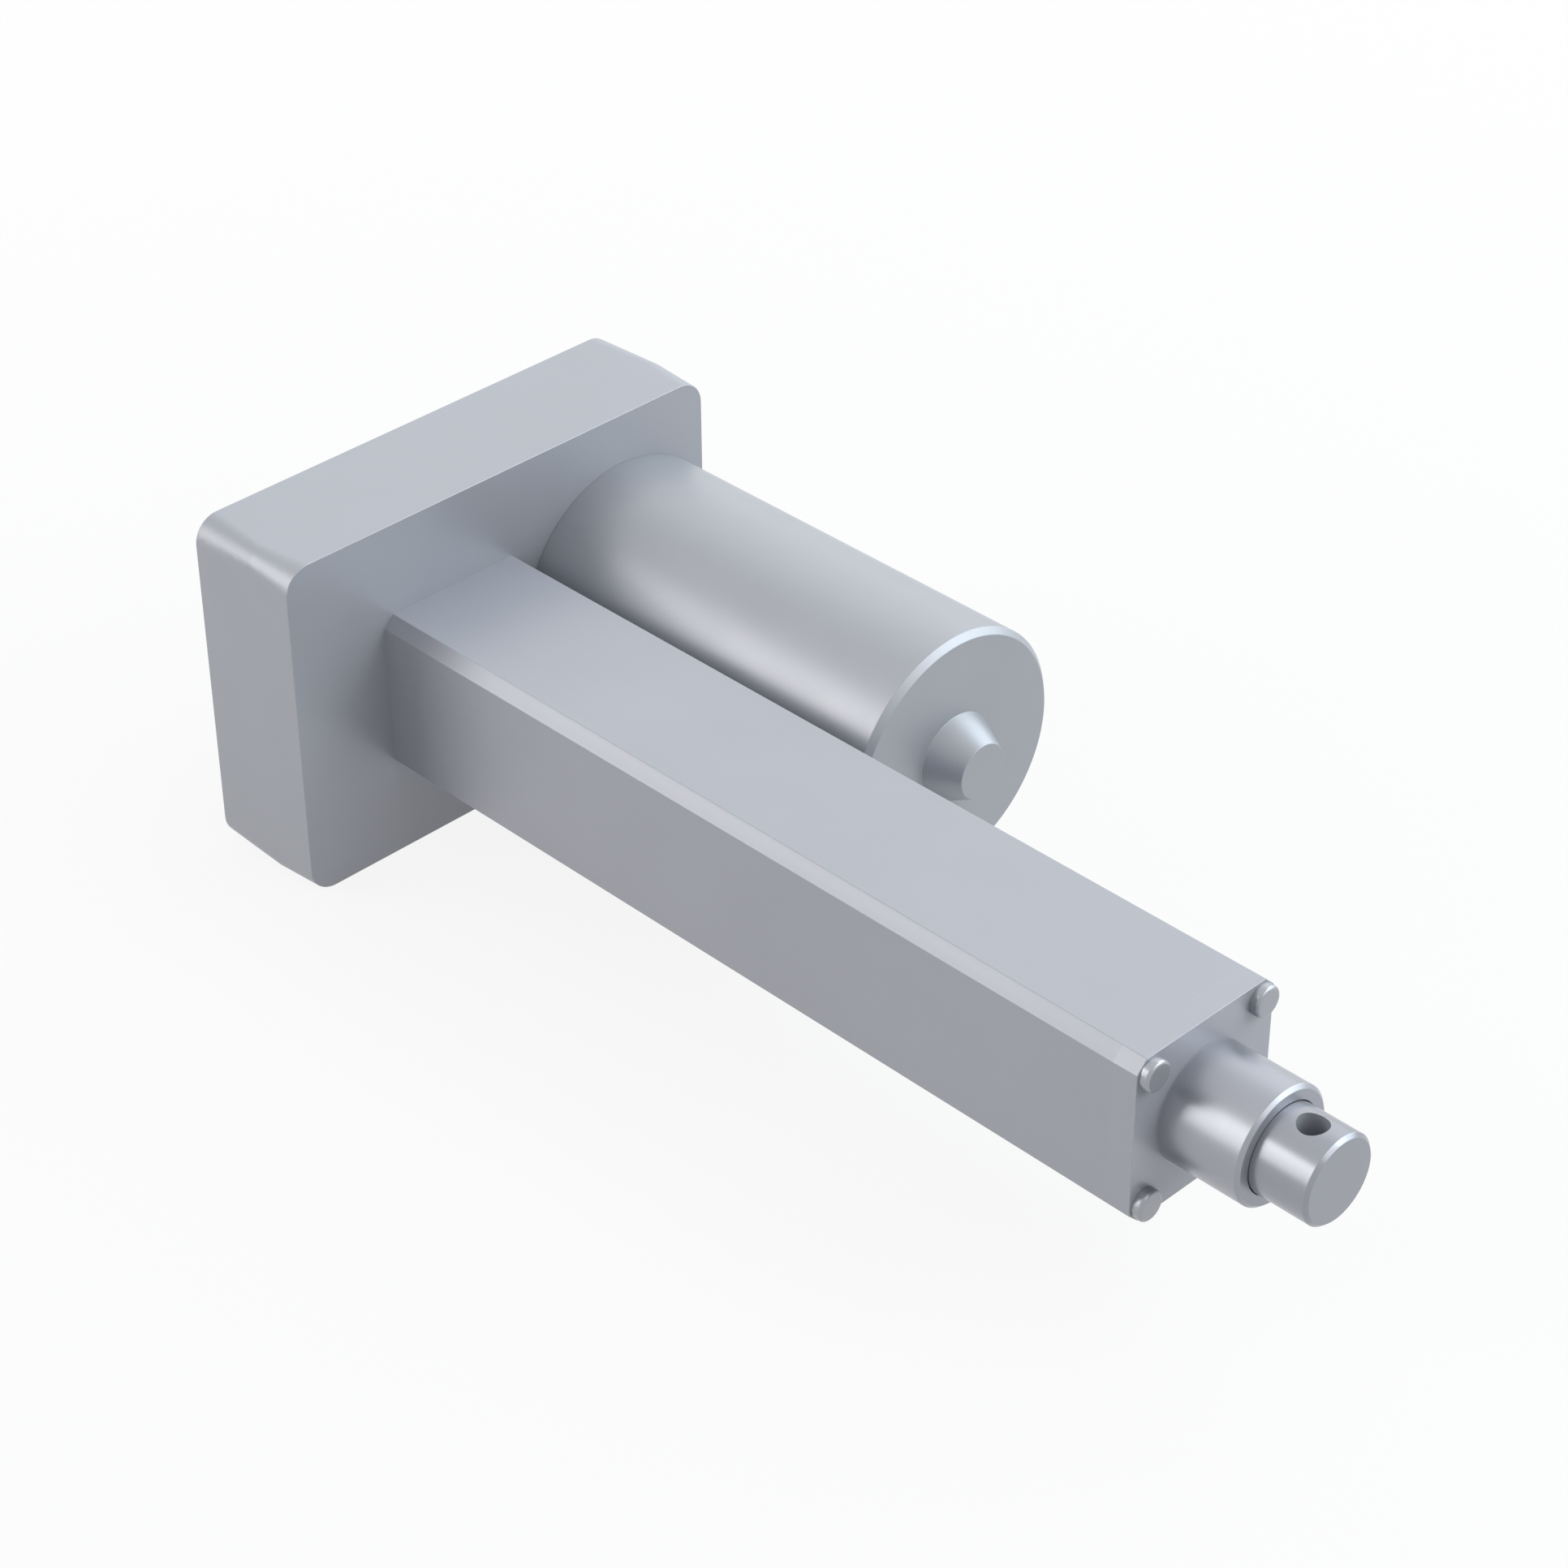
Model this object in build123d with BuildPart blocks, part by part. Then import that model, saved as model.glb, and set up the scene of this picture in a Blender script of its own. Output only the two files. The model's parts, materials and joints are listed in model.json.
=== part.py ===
"""Electric linear actuator with a parallel motor, a spur gear train and a lead screw.

The origin is the centre of the pin hole in the rear eye. +X runs along the screw in the
direction in which the rod extends, +Y points from the screw to the motor, and +Z is up.
The rod is modelled fully drawn in. All sizes are in millimetres.
"""

import os
from math import acos, atan2, cos, pi, radians, sin, sqrt, tan

from build123d import *

# Fits between pieces, and the reach of a search for an edge at a known station
running_gap = 0.04
static_gap = 0.02
sliding_gap = 0.15
search_reach = 0.01

# Gearbox block
gearbox_depth = 31.5
cover_depth = 18.5
gearbox_wall = 4.0
gear_to_wall = 2.4
gear_to_left_wall = 5.5
motor_to_right_side = 25.3
seal_setback = 1.2
seal_width = 1.6
seal_depth = 1.2
gearcase_floor = 5.0
cover_floor = 4.0
front_corner_radius = 6.5
split_corner_radius = 4.6
rear_corner_radius = 6.2
pocket_corner_radius = 3.0

# Eyes at both ends, which take a pin
eye_radius = 10.0
eye_hole_radius = 3.3
eye_reach = 12.0
eye_tip_reach = 7.25
eye_chamfer = 0.8
eye_neck_radius = 12.0
eye_flange_radius = 18.0
eye_flange_thickness = 3.0
eye_screw_circle = 15.0
eye_screw_count = 4
eye_screw_angle = 45.0
eye_screw_grip = 2.8

# Outer tube and its front end cap
tube_width = 40.0
tube_length = 213.0
tube_edge_chamfer = 2.7
tube_wall = 4.0
tube_screw_inset = 4.0
keyway_width = 6.0
keyway_depth = 1.5
sensor_groove_width = 10.0
sensor_groove_depth = 2.4
cap_flange_thickness = 6.0
cap_spigot_length = 10.0
collar_radius = 13.25
collar_length = 20.0
collar_chamfer = 0.8
gearcase_spigot_length = 3.0
tube_screw_grip = 12.0

# Guide bush and wiper in the collar
guide_bush_wall = 1.5
guide_bush_setback = 8.0
wiper_wall = 2.0
wiper_length = 5.0
wiper_setback = 2.0
wiper_lip_pitch = 1.15
wiper_lip_height = 0.9

# Push rod and nut
stroke = 150.0
rod_bore_radius = 6.8
rod_hole_gap = 6.6
rod_end_head_length = 20.0
rod_end_spigot_length = 18.0
nut_start = 8.0
nut_length = 26.0
nut_guide_wall = 3.0
nut_flange_clearance = 1.0
nut_flange_thickness = 3.0
nut_socket_depth = 10.0
nut_guide_length = 12.0
snap_ring_thickness = 1.2
snap_ring_width = 1.8
snap_ring_mouth = 4.0
snap_groove_depth = 0.6

# Position sensing
position_magnet_radius = 2.0
position_magnet_length = 2.5
sensor_strip_thickness = 1.2
sensor_strip_end_gap = 4.0
end_sensor_size = 3.2
end_sensor_height = 0.8

# Lead screw
thread_radius = 6.0
screw_run_out = 4.0
screw_tip_chamfer = 1.0
thrust_collar_radius = 8.0
thrust_collar_length = 4.0
bearing_journal_radius = 5.0
gear_journal_radius = 4.0
end_disc_thickness = 3.0
disc_screw_grip = 9.0
tapping_depth = 1.0
key_width = 3.0
key_height = 3.0
key_top_gap = 0.1
key_setback = 0.5
tail_bush_wall = 2.0
tail_bush_length = 8.0
shaft_end_gap = 1.0

# Deep groove ball bearing that carries the thrust of the screw
bearing_seat_wall = 3.0
bearing_width = 8.0
bearing_ring_thickness = 2.0
ball_radius = 2.38
ball_count = 7
cage_thickness = 1.6
cage_width = 6.0
bearing_shoulder = 1.5
screw_head_clearance = 1.1
retainer_thickness = 1.8
retainer_screw_count = 3
retainer_screw_angle = 30.0
retainer_screw_grip = 3.8
spacer_radius = 6.6

# Gear train, all of one module
gear_module = 1.0
root_depth = 1.25
flank_steps = 3
pressure_angle = 25.0
backlash = 0.16
pinion_teeth = 14
idler_wheel_teeth = 32
idler_pinion_teeth = 14
screw_gear_teeth = 70
screw_gear_width = 7.0
gear_to_retainer = 3.2
gear_rim_thickness = 4.5
gear_web_recess = 1.5
gear_hub_radius = 9.0
gear_window_radius = 5.5
gear_window_count = 6
idler_wheel_width = 5.8
idler_overhang = 1.0
idler_boss_height = 1.2
idler_axle_radius = 3.0
idler_axle_chamfer = 0.4
axle_seat_rear = 2.5
axle_seat_front = 4.0
axle_boss_radius = 5.0
washer_thickness = 0.5

# Motor
tube_to_motor = 1.2
motor_radius = 30.0
motor_length = 105.5
motor_wall = 2.0
motor_end_wall = 2.5
motor_rim_chamfer = 1.4
cone_base_radius = 10.6
cone_tip_radius = 6.6
cone_length = 8.1
end_bell_thickness = 6.0
end_bell_spigot_radius = 11.0
end_bell_rim_height = 3.0
end_bell_rim_width = 2.0
motor_screw_circle = 19.0
motor_screw_count = 3
motor_screw_angle = 90.0
motor_screw_grip = 5.0
pinion_seat_radius = 3.0
motor_shaft_radius = 4.0
motor_tail_radius = 2.5
front_bush_wall = 2.0
front_bush_length = 9.0
front_bush_inset = 4.0
front_bush_lip_radius = 4.6
rear_bush_wall = 2.5
rear_bush_length = 8.0
pinion_width = 8.0
pinion_reach = 13.5
pinion_seat_overhang = 0.5
magnet_thickness = 5.4
magnet_angle = 136.0
magnet_setback = 34.0
magnet_end_gap = 13.0
air_gap = 0.7
armature_slots = 12
armature_setback = 38.0
end_turn_length = 8.0
end_turn_gap = 9.0
slot_inner_radius = 10.5
slot_outer_radius = 19.4
slot_mouth_width = 2.0
slot_mouth_length = 6.0
slot_insulation = 0.3
armature_tooth_width = 4.0
commutator_radius = 11.0
commutator_hub_radius = 7.5
commutator_slit = 0.6
commutator_setback = 12.0
commutator_length = 16.0

# Brush gear
card_thickness = 2.0
card_bore_radius = 13.0
brush_width = 6.0
brush_depth = 9.0
brush_length = 10.5
brush_gap = 0.3
brush_setback = 15.5
holder_wall = 1.0
holder_start = 12.5
holder_length = 14.5
brush_spring_radius = 2.2
brush_spring_wire = 0.3
brush_spring_pitch = 1.2

# Leads from the brush card, and the connector that they end in
lead_radius = 0.8
lead_spacing = 2.4
lead_hole_radius = 2.6
connector_width = 9.0
connector_height = 6.0
connector_length = 12.0
connector_socket_length = 6.0
connector_wall = 1.2

# Fasteners: M4 for the housing, tube, cap and motor, M3 for the eye, M2.5 for the retainer
m4_radius = 2.0
m4_head_radius = 3.5
m4_head_height = 2.2
m4_head_rim = 0.75
m4_flat_head_radius = 4.0
m4_flat_head_height = 2.2
m3_radius = 1.5
m3_head_radius = 2.9
m3_head_height = 1.6
m25_radius = 1.25
m25_head_radius = 2.2
m25_head_height = 1.4
housing_screw_inset = 7.0
housing_mid_screw_y = 22.0
housing_screw_grip = 8.0
screw_boss_wall = 2.5
counterbore_depth = 2.6

# Cable outlet
outlet_beyond_motor = 8.8
outlet_inset = 20.4
grommet_neck_radius = 6.0
grommet_bore_radius = 3.25
grommet_flange_radius = 8.5
grommet_flange_thickness = 2.0
grommet_lip_radius = 7.5
grommet_lip_thickness = 1.5

# Widths and radii that follow from the tube, the gears and the motor
tube_bore_radius = tube_width / 2 - tube_wall
tube_screw_offset = tube_width / 2 - tube_screw_inset
keyway_reach = tube_bore_radius + keyway_depth
sensor_groove_reach = tube_bore_radius + sensor_groove_depth
nut_radius = tube_bore_radius - nut_guide_wall
nut_flange_radius = tube_bore_radius - nut_flange_clearance
bearing_outer_radius = tube_bore_radius - bearing_seat_wall
bearing_boss_radius = sqrt(2) * tube_screw_offset - m4_head_radius - screw_head_clearance
motor_offset = tube_width / 2 + tube_to_motor + motor_radius
screw_gear_tip_radius = gear_module * (screw_gear_teeth / 2 + 1)
gearbox_half_height = screw_gear_tip_radius + gear_to_wall + gearbox_wall
gearbox_left = screw_gear_tip_radius + gear_to_left_wall + gearbox_wall
gearbox_right = motor_offset + motor_to_right_side
outlet_y = motor_offset + outlet_beyond_motor
outlet_z = gearbox_half_height - outlet_inset

# Stations along X, worked out from the sizes above
rear_face = eye_reach
cover_floor_face = rear_face + cover_floor
split_face = rear_face + cover_depth
front_face = rear_face + gearbox_depth
gearcase_floor_face = front_face - gearcase_floor
tube_end = front_face + tube_length
cap_face = tube_end + cap_flange_thickness
collar_end = cap_face + collar_length
cap_spigot_end = tube_end - cap_spigot_length
guide_bush_front = collar_end - guide_bush_setback
guide_bush_radius = eye_radius + guide_bush_wall
wiper_front = collar_end - wiper_setback
wiper_rear = wiper_front - wiper_length
wiper_radius = eye_radius + wiper_wall

# The rod end's pin hole stays just clear of the collar when the rod is drawn in
rod_hole_station = collar_end + rod_hole_gap
rod_tip = rod_hole_station + eye_tip_reach
rod_seam = rod_tip - rod_end_head_length

# Bearing and gear stations on the screw
bearing_front = front_face - bearing_shoulder
bearing_rear = bearing_front - bearing_width
bearing_middle = (bearing_front + bearing_rear) / 2
retainer_rear = bearing_rear - retainer_thickness
screw_gear_front = retainer_rear - gear_to_retainer
screw_gear_rear = screw_gear_front - screw_gear_width
idler_front_boss = gearcase_floor_face - idler_boss_height
idler_wheel_front = idler_front_boss - washer_thickness
idler_wheel_rear = idler_wheel_front - idler_wheel_width
idler_rear = screw_gear_rear - idler_overhang
idler_rear_boss = idler_rear - washer_thickness
idler_axle_rear = cover_floor_face - axle_seat_rear
idler_axle_front = idler_front_boss + axle_seat_front
ball_circle = (bearing_outer_radius + bearing_journal_radius) / 2
outer_ring_bore = bearing_outer_radius - bearing_ring_thickness
inner_ring_radius = bearing_journal_radius + bearing_ring_thickness
thrust_collar_front = bearing_front + thrust_collar_length
eye_flange_face = cover_floor_face + eye_flange_thickness
eye_screw_tip = cover_floor_face - eye_screw_grip
tail_bush_rear = eye_flange_face - tail_bush_length
tail_bush_radius = gear_journal_radius + tail_bush_wall
screw_tail = tail_bush_rear + shaft_end_gap
gear_ring_rear = screw_gear_rear - snap_ring_thickness
key_rear = screw_gear_rear + key_setback
key_front = screw_gear_front - key_setback
gear_rim_inner_radius = gear_module * screw_gear_teeth / 2 - gear_rim_thickness

# Nut, rod and screw stations with the rod drawn in
nut_rear = front_face + nut_start
nut_front = nut_rear + nut_length
nut_socket = nut_front - nut_socket_depth
guide_rear = nut_rear + nut_flange_thickness
guide_front = guide_rear + nut_guide_length
screw_tip = nut_socket + stroke + screw_run_out
end_disc_front = screw_tip + end_disc_thickness
disc_screw_tip = screw_tip - disc_screw_grip
guide_radius = tube_bore_radius - sliding_gap
magnet_station = (guide_rear + guide_front) / 2

# Motor stations, from the gearbox to the far end
pinion_rear = front_face - pinion_reach
pinion_front = pinion_rear + pinion_width
front_bush_rear = front_face - front_bush_inset
front_bush_radius = motor_shaft_radius + front_bush_wall
end_bell_face = front_face + end_bell_thickness
card_face = end_bell_face + end_bell_rim_height
commutator_rear = front_face + commutator_setback
commutator_front = commutator_rear + commutator_length
brush_rear = front_face + brush_setback
brush_front = brush_rear + brush_depth
brush_middle = (brush_rear + brush_front) / 2
brush_start = commutator_radius + brush_gap
brush_spring_length = holder_start + holder_length - holder_wall - brush_start - brush_length
brush_spring_start = brush_start + brush_length + brush_spring_wire
holder_width = brush_width + 2 * (holder_wall + sliding_gap)
motor_front = front_face + motor_length
motor_inner_end = motor_front - motor_end_wall
magnet_start = front_face + magnet_setback
magnet_length = motor_inner_end - magnet_end_gap - magnet_start
armature_rear = front_face + armature_setback
armature_front = motor_inner_end - end_turn_gap - end_turn_length
armature_length = armature_front - armature_rear
motor_inner_radius = motor_radius - motor_wall
end_bell_rim_radius = motor_inner_radius - end_bell_rim_width
armature_radius = motor_inner_radius - magnet_thickness - air_gap
rear_bush_front = motor_inner_end + rear_bush_length
rear_bush_radius = motor_tail_radius + rear_bush_wall
motor_shaft_rear = pinion_rear - pinion_seat_overhang
motor_shaft_front = rear_bush_front - shaft_end_gap
magnet_gap_corner = (motor_radius, motor_radius * tan(radians((180 - magnet_angle) / 2)))
grommet_outer_face = rear_face - grommet_flange_thickness
grommet_inner_face = cover_floor_face + grommet_lip_thickness

# Gear centres: the idler closes the triangle between the screw and the motor shaft
gear_to_idler = gear_module * (screw_gear_teeth + idler_pinion_teeth) / 2
idler_to_motor = gear_module * (idler_wheel_teeth + pinion_teeth) / 2
idler_y = (motor_offset**2 + gear_to_idler**2 - idler_to_motor**2) / (2 * motor_offset)
idler_z = sqrt(gear_to_idler**2 - idler_y**2)
idler_centre = (idler_y, idler_z)
motor_centre = (motor_offset, 0)
grommet_centre = (outlet_y, -outlet_z)
lead_centre = (outlet_y, outlet_z)
connector_front = cover_floor_face + connector_length

gearbox_middle = (gearbox_right - gearbox_left) / 2
gearbox_width = gearbox_left + gearbox_right
gearbox_height = 2 * gearbox_half_height
screw_boss_radius = m4_radius + screw_boss_wall


def on_circle(radius, count, first_angle=0.0, centre=(0, 0)):
    """Evenly spaced (y, z) places on a circle, the first one at an angle from +Y."""
    angles = [radians(first_angle + 360 * turn / count) for turn in range(count)]
    return [(centre[0] + radius * cos(angle), centre[1] + radius * sin(angle)) for angle in angles]


housing_screw_places = [
    (y, side * (gearbox_half_height - housing_screw_inset))
    for y in (
        housing_screw_inset - gearbox_left,
        housing_mid_screw_y,
        gearbox_right - housing_screw_inset,
    )
    for side in (-1, 1)
]
tube_screw_places = [
    (tube_screw_offset * side_y, tube_screw_offset * side_z) for side_y in (-1, 1) for side_z in (-1, 1)
]
eye_screw_places = on_circle(eye_screw_circle, eye_screw_count, eye_screw_angle)
retainer_circle = (bearing_outer_radius + bearing_boss_radius) / 2
retainer_screw_places = on_circle(retainer_circle, retainer_screw_count, retainer_screw_angle)
motor_screw_places = on_circle(
    motor_screw_circle, motor_screw_count, motor_screw_angle, motor_centre
)
ball_places = [(bearing_middle, y, z) for y, z in on_circle(ball_circle, ball_count)]
lead_places = [(outlet_y + side * lead_spacing / 2, outlet_z) for side in (-1, 1)]


def bar(start, end, radius, places=((0, 0),), mode=Mode.ADD):
    """Round bars or holes along X between two stations, one at each (y, z) place."""
    with BuildSketch(Plane.YZ.offset(start)) as outline:
        with Locations(*places):
            Circle(radius)
    extrude(outline.sketch, amount=end - start, mode=mode)


def ring(start, end, outer, inner, places=((0, 0),), mode=Mode.ADD):
    """Round sleeves along X between two stations, one at each (y, z) place."""
    with BuildSketch(Plane.YZ.offset(start)) as outline:
        with Locations(*places):
            Circle(outer)
            Circle(inner, mode=Mode.SUBTRACT)
    extrude(outline.sketch, amount=end - start, mode=mode)


def block(start, end, width, height, place=(0, 0), corner=0.0, mode=Mode.ADD):
    """A rectangular bar or pocket along X, with rounded corners where a radius is given."""
    with BuildSketch(Plane.YZ.offset(start)) as outline:
        with Locations(place):
            if corner:
                RectangleRounded(width, height, corner)
            else:
                Rectangle(width, height)
    extrude(outline.sketch, amount=end - start, mode=mode)


def turned(profile, centre=0.0, mode=Mode.ADD):
    """A closed (station, radius) outline revolved about the line along X at y = centre."""
    with BuildSketch(Plane((0, centre, 0), x_dir=(1, 0, 0), z_dir=(0, 0, 1))) as outline:
        with BuildLine():
            Polyline(*profile, close=True)
        make_face()
    revolve(outline.sketch, Axis((0, centre, 0), (1, 0, 0)), mode=mode)


def countersink(start, end, wide, narrow, places, mode=Mode.SUBTRACT):
    """Cones along X that widen towards the start station, for flat screw heads."""
    for place in places:
        with BuildSketch(Plane.YZ.offset(start)) as mouth:
            with Locations(place):
                Circle(wide)
        with BuildSketch(Plane.YZ.offset(end)) as throat:
            with Locations(place):
                Circle(narrow)
        loft([mouth.sketch.face(), throat.sketch.face()], mode=mode)


def seal_loop(margin, mode=Mode.ADD):
    """The loop of the housing seal at the parting face, thinner than its groove by the margin."""
    with BuildSketch(Plane.YZ.offset(split_face)) as outline:
        with Locations((gearbox_middle, 0)):
            for inset, side in (
                (seal_setback + margin, Mode.ADD),
                (seal_setback + seal_width - margin, Mode.SUBTRACT),
            ):
                RectangleRounded(
                    gearbox_width - 2 * inset,
                    gearbox_height - 2 * inset,
                    split_corner_radius - inset,
                    mode=side,
                )
    extrude(outline.sketch, amount=seal_depth, mode=mode)


def pan_screws(seat, tip, places):
    """M4 screws along X: round heads on the seat station and plain shanks down to the tip."""
    head_top = seat + (m4_head_height if seat > tip else -m4_head_height)
    bar(seat, head_top, m4_head_radius, places)
    rims = edges().filter_by_position(Axis.X, head_top - search_reach, head_top + search_reach)
    fillet(rims, m4_head_rim)
    bar(seat, tip, m4_radius, places)


def snap_ring(start, shaft_radius):
    """A snap ring along X, open at one side, seated in a groove of the shaft."""
    with BuildSketch(Plane.YZ.offset(start)) as outline:
        Circle(shaft_radius + snap_ring_width)
        Circle(shaft_radius - snap_groove_depth + static_gap, mode=Mode.SUBTRACT)
        with Locations((0, -shaft_radius)):
            Rectangle(snap_ring_mouth, 2 * snap_ring_width + shaft_radius, mode=Mode.SUBTRACT)
    extrude(outline.sketch, amount=snap_ring_thickness)


def ball_groove():
    """The rounded groove that the balls run in, cut out of a bearing ring."""
    with BuildSketch(Plane.XY) as outline:
        with Locations((bearing_middle, ball_circle)):
            Circle(ball_radius + running_gap)
    revolve(outline.sketch, Axis.X, mode=Mode.SUBTRACT)


def slot_outline(margin):
    """The corners of one armature slot along +Y, drawn in from its walls by the margin."""
    inner = slot_inner_radius + margin
    outer = slot_outer_radius - margin
    inner_half = pi * inner / armature_slots - armature_tooth_width / 2 - margin
    outer_half = pi * outer / armature_slots - armature_tooth_width / 2 - margin
    return [(inner, -inner_half), (outer, -outer_half), (outer, outer_half), (inner, inner_half)]


def involute(angle):
    """The involute function of an angle in radians."""
    return tan(angle) - angle


def gear_points(teeth, phase):
    """The outline of a spur gear about (0, 0), with a tooth centred on the phase angle.

    Each flank is an involute of the base circle from the root to the tip, thinned by a
    quarter of the backlash, and drops straight to the root below the base circle.
    """
    pitch_radius = gear_module * teeth / 2
    base_radius = pitch_radius * cos(radians(pressure_angle))
    tip_radius = pitch_radius + gear_module
    root_radius = pitch_radius - root_depth * gear_module
    foot_radius = max(base_radius, root_radius)
    half_pitch_tooth = pi / (2 * teeth) - backlash / (4 * pitch_radius)
    flank = []
    if root_radius < base_radius:
        flank.append((root_radius, half_pitch_tooth + involute(radians(pressure_angle))))
    for step in range(flank_steps + 1):
        radius = foot_radius + (tip_radius - foot_radius) * step / flank_steps
        rolled = involute(acos(base_radius / radius))
        flank.append((radius, half_pitch_tooth + involute(radians(pressure_angle)) - rolled))
    points = []
    for tooth in range(teeth):
        middle = phase + 2 * pi * tooth / teeth
        rising = [(radius, middle - half) for radius, half in flank]
        falling = [(radius, middle + half) for radius, half in reversed(flank)]
        points += [(radius * cos(angle), radius * sin(angle)) for radius, angle in rising + falling]
    return points


def gear(teeth, phase, start, end, centre):
    """A toothed disc along X between two stations, about a (y, z) centre."""
    points = [(centre[0] + y, centre[1] + z) for y, z in gear_points(teeth, phase)]
    with BuildSketch(Plane.YZ.offset(start)) as outline:
        with BuildLine():
            Polyline(*points, close=True)
        make_face()
    extrude(outline.sketch, amount=end - start)


def meshing_phase(driver_teeth, driver_phase, driven_teeth, direction):
    """The phase that puts a gap of the driven gear opposite a tooth of the driver.

    The direction is the angle from the driver's centre to the driven gear's centre.
    """
    return direction + pi + (pi - driver_teeth * (driver_phase - direction)) / driven_teeth


screw_gear_phase = 0.0
idler_pinion_phase = meshing_phase(
    screw_gear_teeth, screw_gear_phase, idler_pinion_teeth, atan2(idler_z, idler_y)
)
idler_wheel_phase = idler_pinion_phase
pinion_phase = meshing_phase(
    idler_wheel_teeth, idler_wheel_phase, pinion_teeth, atan2(-idler_z, motor_offset - idler_y)
)


# Rear half of the gearbox: a cast cover, open towards the front
with BuildPart() as rear_cover:
    for station, radius in ((rear_face, rear_corner_radius), (split_face, split_corner_radius)):
        with BuildSketch(Plane.YZ.offset(station)):
            with Locations((gearbox_middle, 0)):
                RectangleRounded(gearbox_width, gearbox_height, radius)
    loft()
    block(
        cover_floor_face,
        split_face,
        gearbox_width - 2 * gearbox_wall,
        gearbox_height - 2 * gearbox_wall,
        (gearbox_middle, 0),
        pocket_corner_radius,
        Mode.SUBTRACT,
    )
    bar(cover_floor_face, split_face, screw_boss_radius, housing_screw_places)
    bar(cover_floor_face, idler_rear_boss, axle_boss_radius, [idler_centre])
    bar(rear_face, split_face, m4_radius + sliding_gap, housing_screw_places, Mode.SUBTRACT)
    bar(
        rear_face,
        rear_face + counterbore_depth,
        m4_head_radius + 2 * sliding_gap,
        housing_screw_places,
        Mode.SUBTRACT,
    )
    bar(rear_face, cover_floor_face, eye_neck_radius + static_gap, mode=Mode.SUBTRACT)
    bar(
        idler_axle_rear,
        idler_rear_boss,
        idler_axle_radius + static_gap,
        [idler_centre],
        Mode.SUBTRACT,
    )
    bar(
        rear_face,
        cover_floor_face,
        grommet_neck_radius + static_gap,
        [grommet_centre],
        Mode.SUBTRACT,
    )
    bar(eye_screw_tip, cover_floor_face, m3_radius + static_gap, eye_screw_places, Mode.SUBTRACT)

# Front half of the gearbox: it carries the bearing, the tube and the motor
with BuildPart() as front_gearcase:
    for station, radius in ((split_face, split_corner_radius), (front_face, front_corner_radius)):
        with BuildSketch(Plane.YZ.offset(station)):
            with Locations((gearbox_middle, 0)):
                RectangleRounded(gearbox_width, gearbox_height, radius)
    loft()
    block(
        split_face,
        gearcase_floor_face,
        gearbox_width - 2 * gearbox_wall,
        gearbox_height - 2 * gearbox_wall,
        (gearbox_middle, 0),
        pocket_corner_radius,
        Mode.SUBTRACT,
    )
    bar(split_face, gearcase_floor_face, screw_boss_radius, housing_screw_places)
    bar(bearing_rear, gearcase_floor_face, bearing_boss_radius)
    bar(idler_front_boss, gearcase_floor_face, axle_boss_radius, [idler_centre])
    bar(front_face, front_face + gearcase_spigot_length, tube_bore_radius - static_gap)
    bar(bearing_rear, bearing_front, bearing_outer_radius + static_gap, mode=Mode.SUBTRACT)
    bar(
        bearing_front,
        front_face + gearcase_spigot_length,
        outer_ring_bore,
        mode=Mode.SUBTRACT,
    )
    bar(
        idler_front_boss,
        idler_axle_front,
        idler_axle_radius + static_gap,
        [idler_centre],
        Mode.SUBTRACT,
    )
    bar(
        gearcase_floor_face,
        front_face,
        end_bell_spigot_radius + static_gap,
        [motor_centre],
        Mode.SUBTRACT,
    )
    bar(
        gearcase_floor_face,
        front_face,
        m4_radius + sliding_gap,
        tube_screw_places + motor_screw_places,
        Mode.SUBTRACT,
    )
    countersink(
        gearcase_floor_face,
        gearcase_floor_face + m4_flat_head_height,
        m4_flat_head_radius + sliding_gap,
        m4_radius + sliding_gap,
        motor_screw_places,
    )
    bar(
        split_face,
        split_face + housing_screw_grip,
        m4_radius + static_gap,
        housing_screw_places,
        Mode.SUBTRACT,
    )
    bar(
        bearing_rear,
        bearing_rear + retainer_screw_grip,
        m25_radius + static_gap,
        retainer_screw_places,
        Mode.SUBTRACT,
    )
    bar(gearcase_floor_face, front_face, lead_hole_radius, [lead_centre], Mode.SUBTRACT)
    seal_loop(0.0, Mode.SUBTRACT)

# Cord seal in the groove of the parting face
with BuildPart() as housing_seal:
    seal_loop(static_gap)

# Screws that hold the two gearbox halves together, with their heads sunk in the rear face
with BuildPart() as housing_screws:
    pan_screws(rear_face + counterbore_depth, split_face + housing_screw_grip, housing_screw_places)

# Rear eye: a turned steel pin whose flange bears on the inside of the cover
with BuildPart() as rear_eye:
    bar(-eye_tip_reach, rear_face, eye_radius)
    chamfer(rear_eye.edges().group_by(Axis.X)[0], eye_chamfer)
    bar(rear_face, cover_floor_face, eye_neck_radius)
    bar(cover_floor_face, eye_flange_face, eye_flange_radius)
    bar(tail_bush_rear, eye_flange_face, tail_bush_radius + static_gap, mode=Mode.SUBTRACT)
    bar(cover_floor_face, eye_flange_face, m3_radius + sliding_gap, eye_screw_places, Mode.SUBTRACT)
    countersink(
        eye_flange_face,
        eye_flange_face - m3_head_height,
        m3_head_radius + sliding_gap,
        m3_radius + sliding_gap,
        eye_screw_places,
    )
    with BuildSketch(Plane.XY.offset(-eye_radius)):
        Circle(eye_hole_radius)
    extrude(amount=2 * eye_radius, mode=Mode.SUBTRACT)

# Flat-head screws that hold the eye's flange to the cover
with BuildPart() as rear_eye_screws:
    bar(eye_screw_tip, eye_flange_face - m3_head_height, m3_radius, eye_screw_places)
    countersink(
        eye_flange_face,
        eye_flange_face - m3_head_height,
        m3_head_radius,
        m3_radius,
        eye_screw_places,
        Mode.ADD,
    )

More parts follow.
